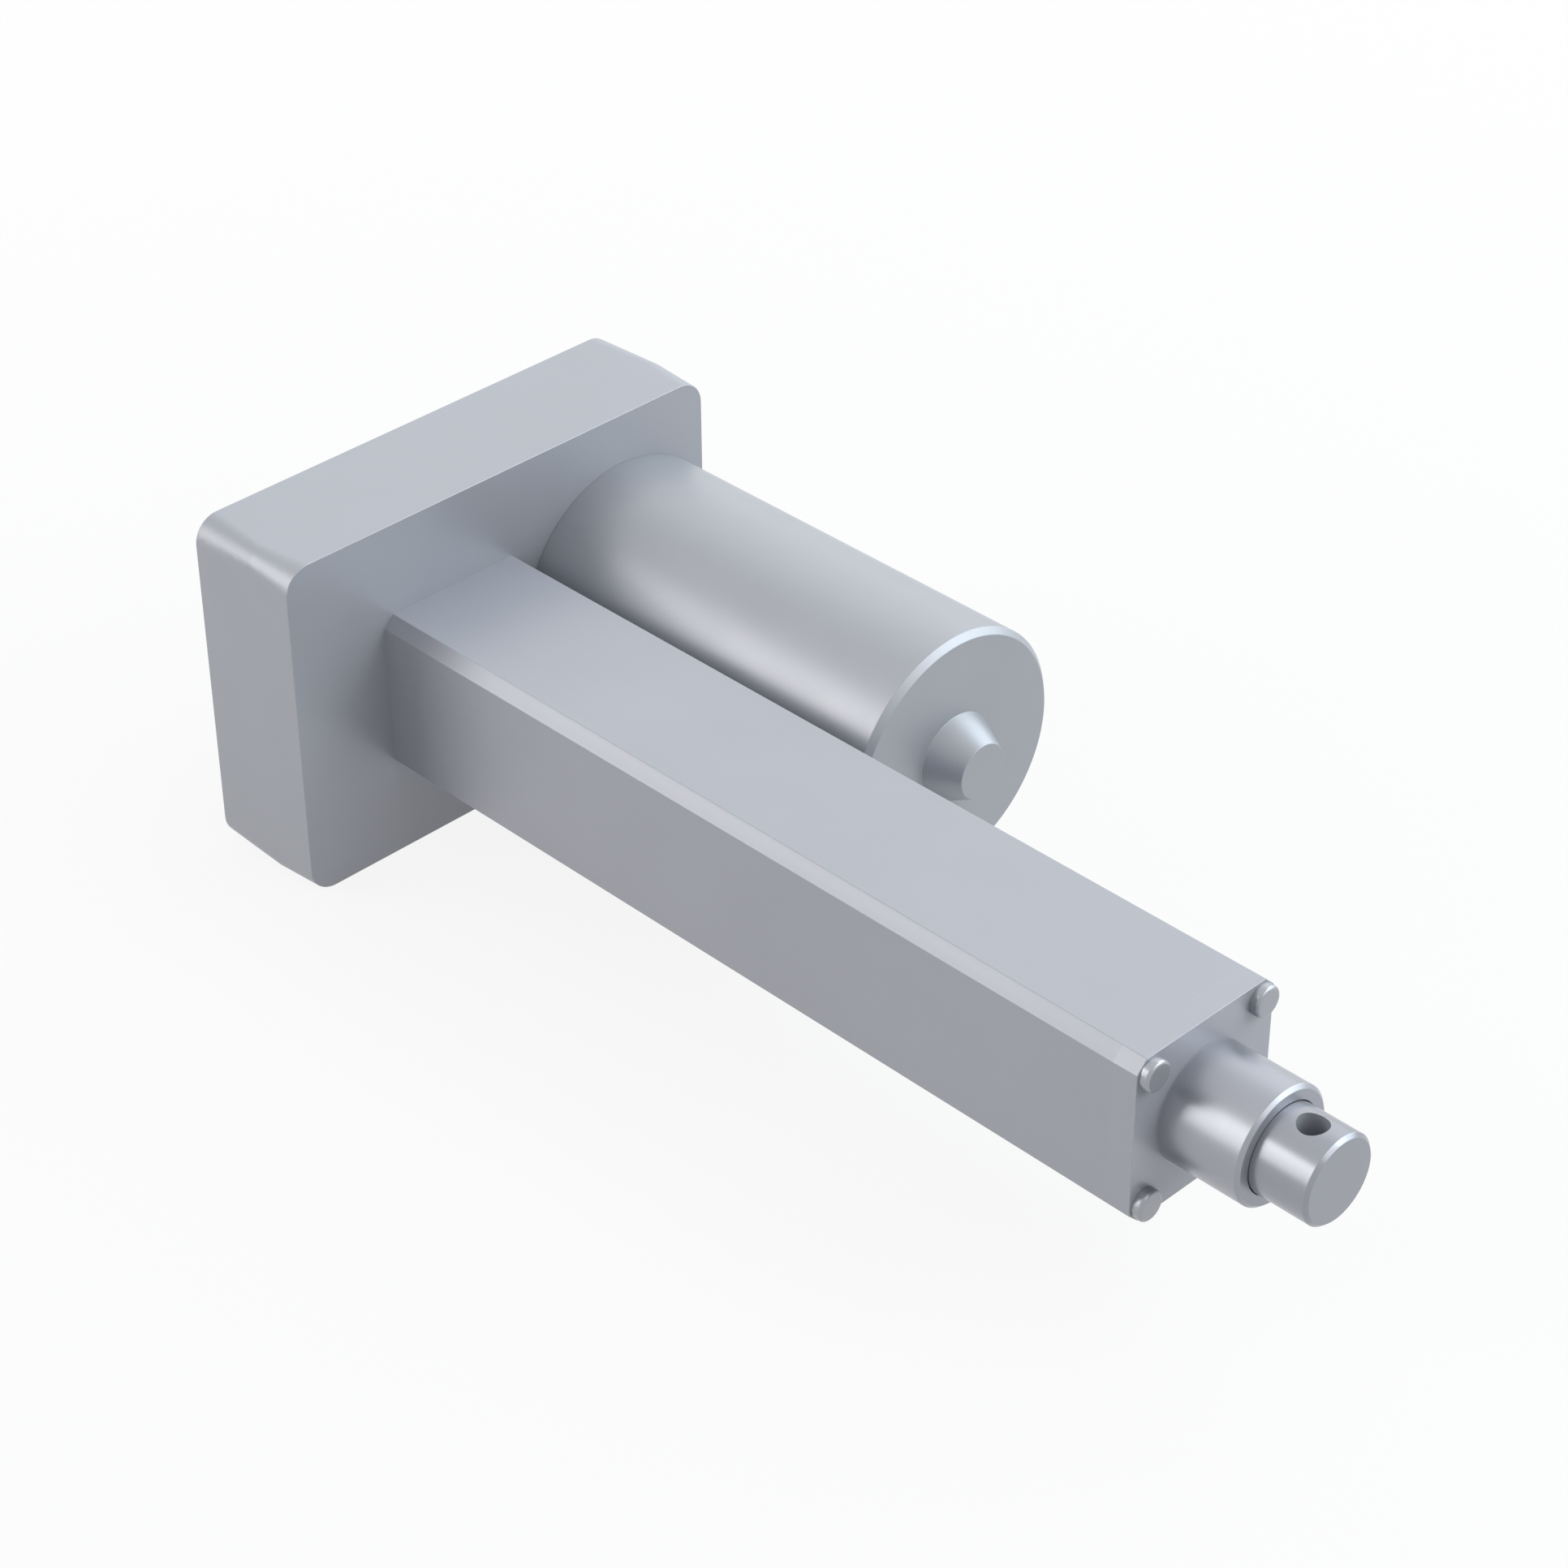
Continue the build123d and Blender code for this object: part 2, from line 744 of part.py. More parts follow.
# Plain bush for the tail of the screw
with BuildPart() as screw_tail_bush:
    ring(tail_bush_rear, eye_flange_face, tail_bush_radius, gear_journal_radius + running_gap)

# Lead screw: gear journal, bearing journal, thrust collar and threaded length
with BuildPart() as lead_screw:
    turned(
        [
            (screw_tail, 0),
            (screw_tail, gear_journal_radius),
            (screw_gear_front, gear_journal_radius),
            (screw_gear_front, bearing_journal_radius),
            (bearing_front, bearing_journal_radius),
            (bearing_front, thrust_collar_radius),
            (thrust_collar_front, thrust_collar_radius),
            (thrust_collar_front, thread_radius),
            (screw_tip - screw_tip_chamfer, thread_radius),
            (screw_tip, thread_radius - screw_tip_chamfer),
            (screw_tip, 0),
        ]
    )
    bar(disc_screw_tip - tapping_depth, screw_tip, m4_radius + static_gap, mode=Mode.SUBTRACT)
    block(
        key_rear,
        key_front,
        key_width + static_gap,
        key_height,
        (0, gear_journal_radius),
        mode=Mode.SUBTRACT,
    )
    ring(
        gear_ring_rear,
        screw_gear_rear,
        gear_journal_radius,
        gear_journal_radius - snap_groove_depth,
        mode=Mode.SUBTRACT,
    )

# Key between the journal and the gear
with BuildPart() as gear_key:
    block(key_rear, key_front, key_width, key_height - key_top_gap, (0, gear_journal_radius))

# Ring that keeps the gear on its journal
with BuildPart() as gear_snap_ring:
    snap_ring(gear_ring_rear, gear_journal_radius)

# Screw gear: toothed rim, thin web with round windows, and a keyed hub
with BuildPart() as screw_gear:
    gear(screw_gear_teeth, screw_gear_phase, screw_gear_rear, screw_gear_front, (0, 0))
    for station in (screw_gear_rear, screw_gear_front - gear_web_recess):
        ring(
            station,
            station + gear_web_recess,
            gear_rim_inner_radius,
            gear_hub_radius,
            mode=Mode.SUBTRACT,
        )
    bar(
        screw_gear_rear,
        screw_gear_front,
        gear_window_radius,
        on_circle((gear_rim_inner_radius + gear_hub_radius) / 2, gear_window_count),
        Mode.SUBTRACT,
    )
    bar(screw_gear_rear, screw_gear_front, gear_journal_radius + static_gap, mode=Mode.SUBTRACT)
    block(
        screw_gear_rear,
        screw_gear_front,
        key_width + static_gap,
        key_height,
        (0, gear_journal_radius),
        mode=Mode.SUBTRACT,
    )

# Spacer tube between the gear and the bearing's inner ring
with BuildPart() as gear_spacer:
    ring(screw_gear_front, bearing_rear, spacer_radius, bearing_journal_radius + static_gap)

# Ball bearing: two grooved rings, a pocketed cage and the balls
with BuildPart() as bearing_outer_ring:
    ring(bearing_rear, bearing_front, bearing_outer_radius, outer_ring_bore)
    ball_groove()

with BuildPart() as bearing_inner_ring:
    ring(bearing_rear, bearing_front, inner_ring_radius, bearing_journal_radius + static_gap)
    ball_groove()

with BuildPart() as bearing_balls:
    with Locations(*ball_places):
        Sphere(ball_radius)

with BuildPart() as bearing_cage:
    ring(
        bearing_middle - cage_width / 2,
        bearing_middle + cage_width / 2,
        ball_circle + cage_thickness / 2,
        ball_circle - cage_thickness / 2,
    )
    for place in ball_places:
        with BuildSketch(Plane(place, x_dir=(1, 0, 0), z_dir=(0, place[1], place[2]))):
            Circle(ball_radius + running_gap)
        extrude(amount=cage_thickness, both=True, mode=Mode.SUBTRACT)

# Plate that keeps the bearing in its seat, and its screws
with BuildPart() as bearing_retainer:
    ring(retainer_rear, bearing_rear, bearing_boss_radius, outer_ring_bore)
    bar(retainer_rear, bearing_rear, m25_radius + sliding_gap, retainer_screw_places, Mode.SUBTRACT)

with BuildPart() as retainer_screws:
    bar(retainer_rear - m25_head_height, retainer_rear, m25_head_radius, retainer_screw_places)
    bar(retainer_rear, bearing_rear + retainer_screw_grip, m25_radius, retainer_screw_places)

# Idler: wheel and pinion in one piece, turning on a fixed axle between two washers
with BuildPart() as idler_gear:
    gear(idler_wheel_teeth, idler_wheel_phase, idler_wheel_rear, idler_wheel_front, idler_centre)
    gear(idler_pinion_teeth, idler_pinion_phase, idler_rear, idler_wheel_rear, idler_centre)
    bar(
        idler_rear,
        idler_wheel_front,
        idler_axle_radius + running_gap,
        [idler_centre],
        Mode.SUBTRACT,
    )

with BuildPart() as idler_axle:
    bar(idler_axle_rear, idler_axle_front, idler_axle_radius, [idler_centre])
    chamfer(idler_axle.edges().filter_by(GeomType.CIRCLE), idler_axle_chamfer)

with BuildPart() as idler_washers:
    for station in (idler_rear_boss, idler_wheel_front):
        ring(
            station,
            station + washer_thickness,
            axle_boss_radius,
            idler_axle_radius + static_gap,
            [idler_centre],
        )

# Outer tube: a square extrusion with a round bore, two keyways, a sensor groove and screw ports
with BuildPart() as outer_tube:
    with BuildSketch(Plane.YZ.offset(front_face)) as tube_profile:
        Rectangle(tube_width, tube_width)
        chamfer(tube_profile.vertices(), tube_edge_chamfer)
        Circle(tube_bore_radius, mode=Mode.SUBTRACT)
        Rectangle(2 * keyway_reach, keyway_width, mode=Mode.SUBTRACT)
        with Locations((0, -sensor_groove_reach / 2)):
            Rectangle(sensor_groove_width, sensor_groove_reach, mode=Mode.SUBTRACT)
        with Locations(*tube_screw_places):
            Circle(m4_radius + static_gap, mode=Mode.SUBTRACT)
    extrude(amount=tube_length)

# Screws from inside the gearbox into the tube's screw ports
with BuildPart() as tube_screws:
    pan_screws(gearcase_floor_face, front_face + tube_screw_grip, tube_screw_places)

# Front end cap: flange, guide collar and spigot in one piece
with BuildPart() as front_end_cap:
    with BuildSketch(Plane.YZ.offset(tube_end)) as cap_profile:
        Rectangle(tube_width, tube_width)
        chamfer(cap_profile.vertices(), tube_edge_chamfer)
    extrude(amount=cap_flange_thickness)
    bar(cap_spigot_end, tube_end, tube_bore_radius - static_gap)
    bar(cap_face, collar_end, collar_radius)
    chamfer(front_end_cap.edges().group_by(Axis.X)[-1], collar_chamfer)
    bar(cap_spigot_end, guide_bush_front, guide_bush_radius + static_gap, mode=Mode.SUBTRACT)
    bar(guide_bush_front, wiper_rear, eye_radius + sliding_gap, mode=Mode.SUBTRACT)
    bar(wiper_rear, wiper_front, wiper_radius + static_gap, mode=Mode.SUBTRACT)
    bar(wiper_front, collar_end, eye_radius + sliding_gap, mode=Mode.SUBTRACT)
    bar(tube_end, cap_face, m4_radius + sliding_gap, tube_screw_places, Mode.SUBTRACT)

# The four screws of the end cap, with their heads on its face
with BuildPart() as end_cap_screws:
    pan_screws(cap_face, tube_end - tube_screw_grip, tube_screw_places)

# Guide bush and wiper that the rod runs in
with BuildPart() as guide_bush:
    ring(cap_spigot_end, guide_bush_front, guide_bush_radius, eye_radius + running_gap)

with BuildPart() as rod_wiper:
    turned(
        [
            (wiper_rear, wiper_radius),
            (wiper_front, wiper_radius),
            (wiper_front, eye_radius + sliding_gap),
            (wiper_front - wiper_lip_pitch, eye_radius + running_gap),
            (wiper_front - 2 * wiper_lip_pitch, eye_radius + wiper_lip_height),
            (wiper_front - 3 * wiper_lip_pitch, eye_radius + running_gap),
            (wiper_rear, eye_radius + wiper_lip_height),
        ]
    )

# Push rod tube, and the end fitting with its cross hole
with BuildPart() as rod_tube:
    ring(nut_socket, rod_seam, eye_radius, rod_bore_radius)

with BuildPart() as rod_end:
    bar(rod_seam - rod_end_spigot_length, rod_seam, rod_bore_radius - static_gap)
    bar(rod_seam, rod_tip, eye_radius)
    chamfer(rod_end.edges().group_by(Axis.X)[-1], eye_chamfer)
    with BuildSketch(Plane.XY.offset(-eye_radius)):
        with Locations((rod_hole_station, 0)):
            Circle(eye_hole_radius)
    extrude(amount=2 * eye_radius, mode=Mode.SUBTRACT)

# Drive nut: its rear part runs on the thread and its front part holds the rod tube
with BuildPart() as drive_nut:
    bar(nut_rear, guide_rear, nut_flange_radius)
    bar(guide_rear, nut_front, nut_radius)
    bar(nut_rear, nut_socket, thread_radius + running_gap, mode=Mode.SUBTRACT)
    bar(nut_socket, nut_front, eye_radius + static_gap, mode=Mode.SUBTRACT)
    ring(
        guide_front,
        guide_front + snap_ring_thickness,
        nut_radius,
        nut_radius - snap_groove_depth,
        mode=Mode.SUBTRACT,
    )

# Guide on the nut, whose two keys slide in the tube's keyways and stop it turning
with BuildPart() as nut_guide:
    with BuildSketch(Plane.YZ.offset(guide_rear)):
        Circle(guide_radius)
        Rectangle(2 * (keyway_reach - sliding_gap), keyway_width - 2 * sliding_gap)
        Circle(nut_radius + static_gap, mode=Mode.SUBTRACT)
    extrude(amount=nut_guide_length)
    with BuildSketch(Plane.XY.offset(-tube_bore_radius)):
        with Locations((magnet_station, 0)):
            Circle(position_magnet_radius + static_gap)
    extrude(amount=tube_bore_radius - nut_radius, mode=Mode.SUBTRACT)

with BuildPart() as nut_snap_ring:
    snap_ring(guide_front, nut_radius)

# Position magnet in the guide, and the sensor strip that it passes over
with BuildPart() as position_magnet:
    with BuildSketch(Plane.XY.offset(-nut_radius - position_magnet_length)):
        with Locations((magnet_station, 0)):
            Circle(position_magnet_radius)
    extrude(amount=position_magnet_length - sliding_gap)

with BuildPart() as sensor_strip:
    block(
        front_face + sensor_strip_end_gap,
        cap_spigot_end - sensor_strip_end_gap,
        sensor_groove_width - 2 * sliding_gap,
        sensor_strip_thickness,
        (0, sensor_strip_thickness / 2 - sensor_groove_reach),
    )

with BuildPart() as end_sensors:
    for station in (magnet_station, magnet_station + stroke):
        block(
            station - end_sensor_size / 2,
            station + end_sensor_size / 2,
            end_sensor_size,
            end_sensor_height,
            (0, sensor_strip_thickness + end_sensor_height / 2 - sensor_groove_reach),
        )

# Stop disc on the tip of the screw, and its screw
with BuildPart() as screw_end_disc:
    ring(screw_tip, end_disc_front, rod_bore_radius - sliding_gap, m4_radius + static_gap)

with BuildPart() as end_disc_screw:
    pan_screws(end_disc_front, disc_screw_tip, [(0, 0)])

# Motor can, drawn in one piece with its end wall and the boss around the rear bush
with BuildPart() as motor_can:
    turned(
        [
            (front_face, motor_radius),
            (motor_front - motor_rim_chamfer, motor_radius),
            (motor_front, motor_radius - motor_rim_chamfer),
            (motor_front, cone_base_radius),
            (motor_front + cone_length, cone_tip_radius),
            (motor_front + cone_length, 0),
            (rear_bush_front, 0),
            (rear_bush_front, rear_bush_radius + static_gap),
            (motor_inner_end, rear_bush_radius + static_gap),
            (motor_inner_end, motor_inner_radius),
            (front_face, motor_inner_radius),
        ],
        motor_offset,
    )

# Two curved magnets glued into the can
with BuildPart() as motor_magnets:
    with BuildSketch(Plane.YZ.offset(magnet_start)):
        with Locations((motor_offset, 0)):
            Circle(motor_inner_radius - static_gap)
            Circle(motor_inner_radius - magnet_thickness, mode=Mode.SUBTRACT)
            with PolarLocations(0, 2, 90):
                Polygon(
                    (0, 0),
                    magnet_gap_corner,
                    (magnet_gap_corner[0], -magnet_gap_corner[1]),
                    align=None,
                    mode=Mode.SUBTRACT,
                )
    extrude(amount=magnet_length)

# End bell that closes the can, centres the motor in the gearbox and holds the front bush
with BuildPart() as motor_end_bell:
    turned(
        [
            (gearcase_floor_face, front_bush_lip_radius),
            (gearcase_floor_face, end_bell_spigot_radius),
            (front_face, end_bell_spigot_radius),
            (front_face, motor_inner_radius - static_gap),
            (card_face, motor_inner_radius - static_gap),
            (card_face, end_bell_rim_radius),
            (end_bell_face, end_bell_rim_radius),
            (end_bell_face, front_bush_radius + static_gap),
            (front_bush_rear, front_bush_radius + static_gap),
            (front_bush_rear, front_bush_lip_radius),
        ],
        motor_offset,
    )
    bar(front_face, end_bell_face, m4_radius + static_gap, motor_screw_places, Mode.SUBTRACT)
    bar(front_face, end_bell_face, lead_hole_radius, [lead_centre], Mode.SUBTRACT)

# Flat-head screws from inside the gearbox into the end bell
with BuildPart() as motor_screws:
    bar(
        gearcase_floor_face + m4_flat_head_height,
        front_face + motor_screw_grip,
        m4_radius,
        motor_screw_places,
    )
    countersink(
        gearcase_floor_face,
        gearcase_floor_face + m4_flat_head_height,
        m4_flat_head_radius,
        m4_radius,
        motor_screw_places,
        Mode.ADD,
    )

# Sintered bushes for the two ends of the motor shaft
with BuildPart() as motor_front_bush:
    ring(
        front_bush_rear,
        front_bush_rear + front_bush_length,
        front_bush_radius,
        motor_shaft_radius + running_gap,
        [motor_centre],
    )

with BuildPart() as motor_rear_bush:
    ring(
        motor_inner_end,
        rear_bush_front,
        rear_bush_radius,
        motor_tail_radius + running_gap,
        [motor_centre],
    )

# Brush gear: a card on the end bell's rim, two holders, two brushes and their springs
with BuildPart() as brush_card:
    ring(
        card_face,
        card_face + card_thickness,
        motor_inner_radius - static_gap,
        card_bore_radius,
        [motor_centre],
    )

with BuildPart() as brush_holders:
    for side in (-1, 1):
        middle = (motor_offset, side * (holder_start + holder_length / 2))
        block(card_face + card_thickness, brush_rear - sliding_gap, holder_width, holder_length, middle)
        block(brush_rear - sliding_gap, brush_front + holder_wall, holder_width, holder_length, middle)
        block(
            brush_rear - sliding_gap,
            brush_front + sliding_gap,
            brush_width + 2 * sliding_gap,
            holder_length - holder_wall,
            (motor_offset, side * (holder_start + (holder_length - holder_wall) / 2)),
            mode=Mode.SUBTRACT,
        )

with BuildPart() as brushes:
    for side in (-1, 1):
        block(
            brush_rear,
            brush_front,
            brush_width,
            brush_length,
            (motor_offset, side * (brush_start + brush_length / 2)),
        )
    bar(brush_rear, brush_front, brush_start, [motor_centre], Mode.SUBTRACT)

with BuildPart() as brush_springs:
    for side in (-1, 1):
        with BuildLine() as coil:
            Helix(
                brush_spring_pitch,
                brush_spring_length - 2 * brush_spring_wire,
                brush_spring_radius,
                center=(brush_middle, motor_offset, side * brush_spring_start),
                direction=(0, 0, side),
            )
        with BuildSketch(Plane(coil.line @ 0, z_dir=coil.line % 0)) as wire:
            Circle(brush_spring_wire)
        sweep(wire.sketch, coil.line)

# Leads from the brush card to a connector clipped to the cover's floor
with BuildPart() as motor_leads:
    bar(connector_front, card_face, lead_radius, lead_places)

with BuildPart() as lead_connector:
    block(cover_floor_face, connector_front, connector_width, connector_height, lead_centre)
    block(
        cover_floor_face + connector_wall,
        cover_floor_face + connector_wall + connector_socket_length,
        connector_width - 2 * connector_wall,
        connector_height - connector_wall,
        (outlet_y, outlet_z - connector_wall / 2),
        mode=Mode.SUBTRACT,
    )

# Grommet that lines the cable outlet in the cover
with BuildPart() as cable_grommet:
    bar(grommet_outer_face, rear_face, grommet_flange_radius, [grommet_centre])
    bar(rear_face, cover_floor_face, grommet_neck_radius, [grommet_centre])
    bar(cover_floor_face, grommet_inner_face, grommet_lip_radius, [grommet_centre])
    bar(
        grommet_outer_face,
        grommet_inner_face,
        grommet_bore_radius,
        [grommet_centre],
        Mode.SUBTRACT,
    )

# Motor shaft: pinion seat, main length and a thinner tail
with BuildPart() as motor_shaft:
    turned(
        [
            (motor_shaft_rear, 0),
            (motor_shaft_rear, pinion_seat_radius),
            (pinion_front, pinion_seat_radius),
            (pinion_front, motor_shaft_radius),
            (motor_inner_end, motor_shaft_radius),
            (motor_inner_end, motor_tail_radius),
            (motor_shaft_front, motor_tail_radius),
            (motor_shaft_front, 0),
        ],
        motor_offset,
    )

# Pinion pressed on the motor shaft
with BuildPart() as motor_pinion:
    gear(pinion_teeth, pinion_phase, pinion_rear, pinion_front, motor_centre)
    bar(pinion_rear, pinion_front, pinion_seat_radius + static_gap, [motor_centre], Mode.SUBTRACT)

# Armature core: a stack of slotted steel sheets
with BuildPart() as armature_core:
    with BuildSketch(Plane.YZ.offset(armature_rear)):
        with Locations(motor_centre):
            Circle(armature_radius)
            Circle(motor_shaft_radius + static_gap, mode=Mode.SUBTRACT)
            with PolarLocations(0, armature_slots):
                Polygon(*slot_outline(0.0), align=None, mode=Mode.SUBTRACT)
                with Locations((armature_radius, 0)):
                    Rectangle(slot_mouth_length, slot_mouth_width, mode=Mode.SUBTRACT)
    extrude(amount=armature_length)

# Windings: a bundle in every slot, joined by the end turns at both ends of the core
with BuildPart() as armature_windings:
    with BuildSketch(Plane.YZ.offset(armature_rear - end_turn_length)):
        with Locations(motor_centre):
            with PolarLocations(0, armature_slots):
                Polygon(*slot_outline(slot_insulation), align=None)
    extrude(amount=armature_length + 2 * end_turn_length)
    for station in (armature_rear - end_turn_length, armature_front + slot_insulation):
        ring(
            station,
            station + end_turn_length - slot_insulation,
            slot_outer_radius,
            slot_inner_radius - slot_insulation,
            [motor_centre],
        )

# Commutator: copper bars around an insulating hub
with BuildPart() as commutator_hub:
    ring(
        commutator_rear,
        commutator_front,
        commutator_hub_radius,
        motor_shaft_radius + static_gap,
        [motor_centre],
    )

with BuildPart() as commutator_bars:
    with BuildSketch(Plane.YZ.offset(commutator_rear)):
        with Locations(motor_centre):
            Circle(commutator_radius)
            Circle(commutator_hub_radius + static_gap, mode=Mode.SUBTRACT)
            with PolarLocations(0, armature_slots):
                Rectangle(
                    2 * commutator_radius,
                    commutator_slit,
                    align=(Align.MIN, Align.CENTER),
                    mode=Mode.SUBTRACT,
                )
    extrude(amount=commutator_length)

pieces = {
    "rear_cover": rear_cover,
    "front_gearcase": front_gearcase,
    "housing_seal": housing_seal,
    "housing_screws": housing_screws,
    "rear_eye": rear_eye,
    "rear_eye_screws": rear_eye_screws,
    "screw_tail_bush": screw_tail_bush,
    "lead_screw": lead_screw,
    "gear_key": gear_key,
    "gear_snap_ring": gear_snap_ring,
    "screw_gear": screw_gear,
    "gear_spacer": gear_spacer,
    "bearing_outer_ring": bearing_outer_ring,
    "bearing_inner_ring": bearing_inner_ring,
    "bearing_balls": bearing_balls,
    "bearing_cage": bearing_cage,
    "bearing_retainer": bearing_retainer,
    "retainer_screws": retainer_screws,
    "idler_gear": idler_gear,
    "idler_axle": idler_axle,
    "idler_washers": idler_washers,
    "outer_tube": outer_tube,
    "tube_screws": tube_screws,
    "front_end_cap": front_end_cap,
    "end_cap_screws": end_cap_screws,
    "guide_bush": guide_bush,
    "rod_wiper": rod_wiper,
    "rod_tube": rod_tube,
    "rod_end": rod_end,
    "drive_nut": drive_nut,
    "nut_guide": nut_guide,
    "nut_snap_ring": nut_snap_ring,
    "position_magnet": position_magnet,
    "sensor_strip": sensor_strip,
    "end_sensors": end_sensors,
    "screw_end_disc": screw_end_disc,
    "end_disc_screw": end_disc_screw,
    "motor_can": motor_can,
    "motor_magnets": motor_magnets,
    "motor_end_bell": motor_end_bell,
    "motor_screws": motor_screws,
    "motor_front_bush": motor_front_bush,
    "motor_rear_bush": motor_rear_bush,
    "brush_card": brush_card,
    "brush_holders": brush_holders,
    "brushes": brushes,
    "brush_springs": brush_springs,
    "motor_leads": motor_leads,
    "lead_connector": lead_connector,
    "cable_grommet": cable_grommet,
    "motor_shaft": motor_shaft,
    "motor_pinion": motor_pinion,
    "armature_core": armature_core,
    "armature_windings": armature_windings,
    "commutator_hub": commutator_hub,
    "commutator_bars": commutator_bars,
}

os.makedirs("parts", exist_ok=True)
for name, piece in pieces.items():
    piece.part.label = name
    export_step(piece.part, f"parts/{name}.step")
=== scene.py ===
"""The visible surfaces and finishes of an electric linear actuator, laid out as an add-on.

Each operator draws one piece or one group of like pieces. All sizes are in metres in the
actuator's own frame: the origin is the rear eye's pin hole, +X is the way the rod extends,
+Y points from the screw to the motor and +Z is up.
"""

import json

import bmesh
import bpy
import numpy as np
from bpy.props import FloatProperty, FloatVectorProperty, IntProperty, PointerProperty
from bpy.types import Operator, Panel, PropertyGroup
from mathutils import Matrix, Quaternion, Vector


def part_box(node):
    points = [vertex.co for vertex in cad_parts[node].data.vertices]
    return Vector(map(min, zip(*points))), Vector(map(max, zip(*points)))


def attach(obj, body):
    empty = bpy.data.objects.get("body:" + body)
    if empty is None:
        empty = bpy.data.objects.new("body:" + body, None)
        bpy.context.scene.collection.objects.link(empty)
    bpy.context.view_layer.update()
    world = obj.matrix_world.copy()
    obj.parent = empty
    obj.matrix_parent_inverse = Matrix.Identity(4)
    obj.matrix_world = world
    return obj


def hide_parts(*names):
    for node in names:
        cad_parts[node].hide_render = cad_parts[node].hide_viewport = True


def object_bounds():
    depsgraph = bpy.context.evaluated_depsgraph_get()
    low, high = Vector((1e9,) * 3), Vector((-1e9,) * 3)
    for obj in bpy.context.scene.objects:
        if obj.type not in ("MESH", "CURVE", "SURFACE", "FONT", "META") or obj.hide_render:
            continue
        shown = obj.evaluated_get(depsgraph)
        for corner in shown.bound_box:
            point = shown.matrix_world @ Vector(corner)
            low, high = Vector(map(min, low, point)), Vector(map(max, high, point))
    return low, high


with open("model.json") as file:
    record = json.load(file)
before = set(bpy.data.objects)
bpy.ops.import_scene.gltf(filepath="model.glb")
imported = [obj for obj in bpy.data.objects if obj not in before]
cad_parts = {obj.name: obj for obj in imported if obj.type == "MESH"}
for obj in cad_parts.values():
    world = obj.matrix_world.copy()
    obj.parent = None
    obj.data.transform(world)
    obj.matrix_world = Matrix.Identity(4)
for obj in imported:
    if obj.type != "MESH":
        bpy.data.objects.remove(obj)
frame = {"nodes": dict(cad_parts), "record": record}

bl_info = {
    "name": "Linear Actuator Surfaces",
    "version": (1, 0, 0),
    "blender": (4, 5, 0),
    "location": "View3D > Sidebar > Actuator",
    "description": "Draws the surfaces and finishes of an electric linear actuator",
    "category": "Object",
}

MM = 0.001
nodes = frame["nodes"]
record = frame["record"]
body_of_node = {
    node: body for body, members in record["behaviour"]["bodies"].items() for node in members
}
cad_box = [list(corner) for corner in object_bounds()]
actuator_middle = (Vector(cad_box[0]) + Vector(cad_box[1])) / 2
lows = {node: np.array(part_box(node)[0]) for node in nodes}
highs = {node: np.array(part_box(node)[1]) for node in nodes}

# The gap between a turned piece and its seat, and the distance under which places are the same
seat_gap = 0.02 * MM
same_place = 0.01 * MM

# Places and sizes read from the solids
rear_face = lows["rear_cover"][0]
front_face = lows["motor_can"][0]
tube_half_width = highs["outer_tube"][1]
rod_radius = highs["rod_tube"][1]
motor_axis = (lows["motor_can"][1] + highs["motor_can"][1]) / 2
motor_radius = (highs["motor_can"][1] - lows["motor_can"][1]) / 2
motor_inner_radius = highs["brush_card"][1] - motor_axis + seat_gap
rear_bush_seat = highs["motor_rear_bush"][1] - motor_axis + seat_gap
outlet_centre = tuple((lows["cable_grommet"] + highs["cable_grommet"])[1:] / 2)


def length_setting(name, description, default):
    """A setting that holds a length."""
    return FloatProperty(
        name=name, description=description, default=default, min=0.0, unit="LENGTH"
    )


def colour_setting(name, description, default):
    """A setting that holds a colour."""
    return FloatVectorProperty(
        name=name, description=description, default=default, subtype="COLOR", size=3
    )


def light_setting(name, description, default):
    """A setting that holds the brightness of a light."""
    return FloatProperty(name=name, description=description, default=default)


def angle_setting(name, description, degrees):
    """A setting that holds an angle, given in degrees."""
    return FloatProperty(
        name=name, description=description, default=np.radians(degrees), subtype="ANGLE"
    )


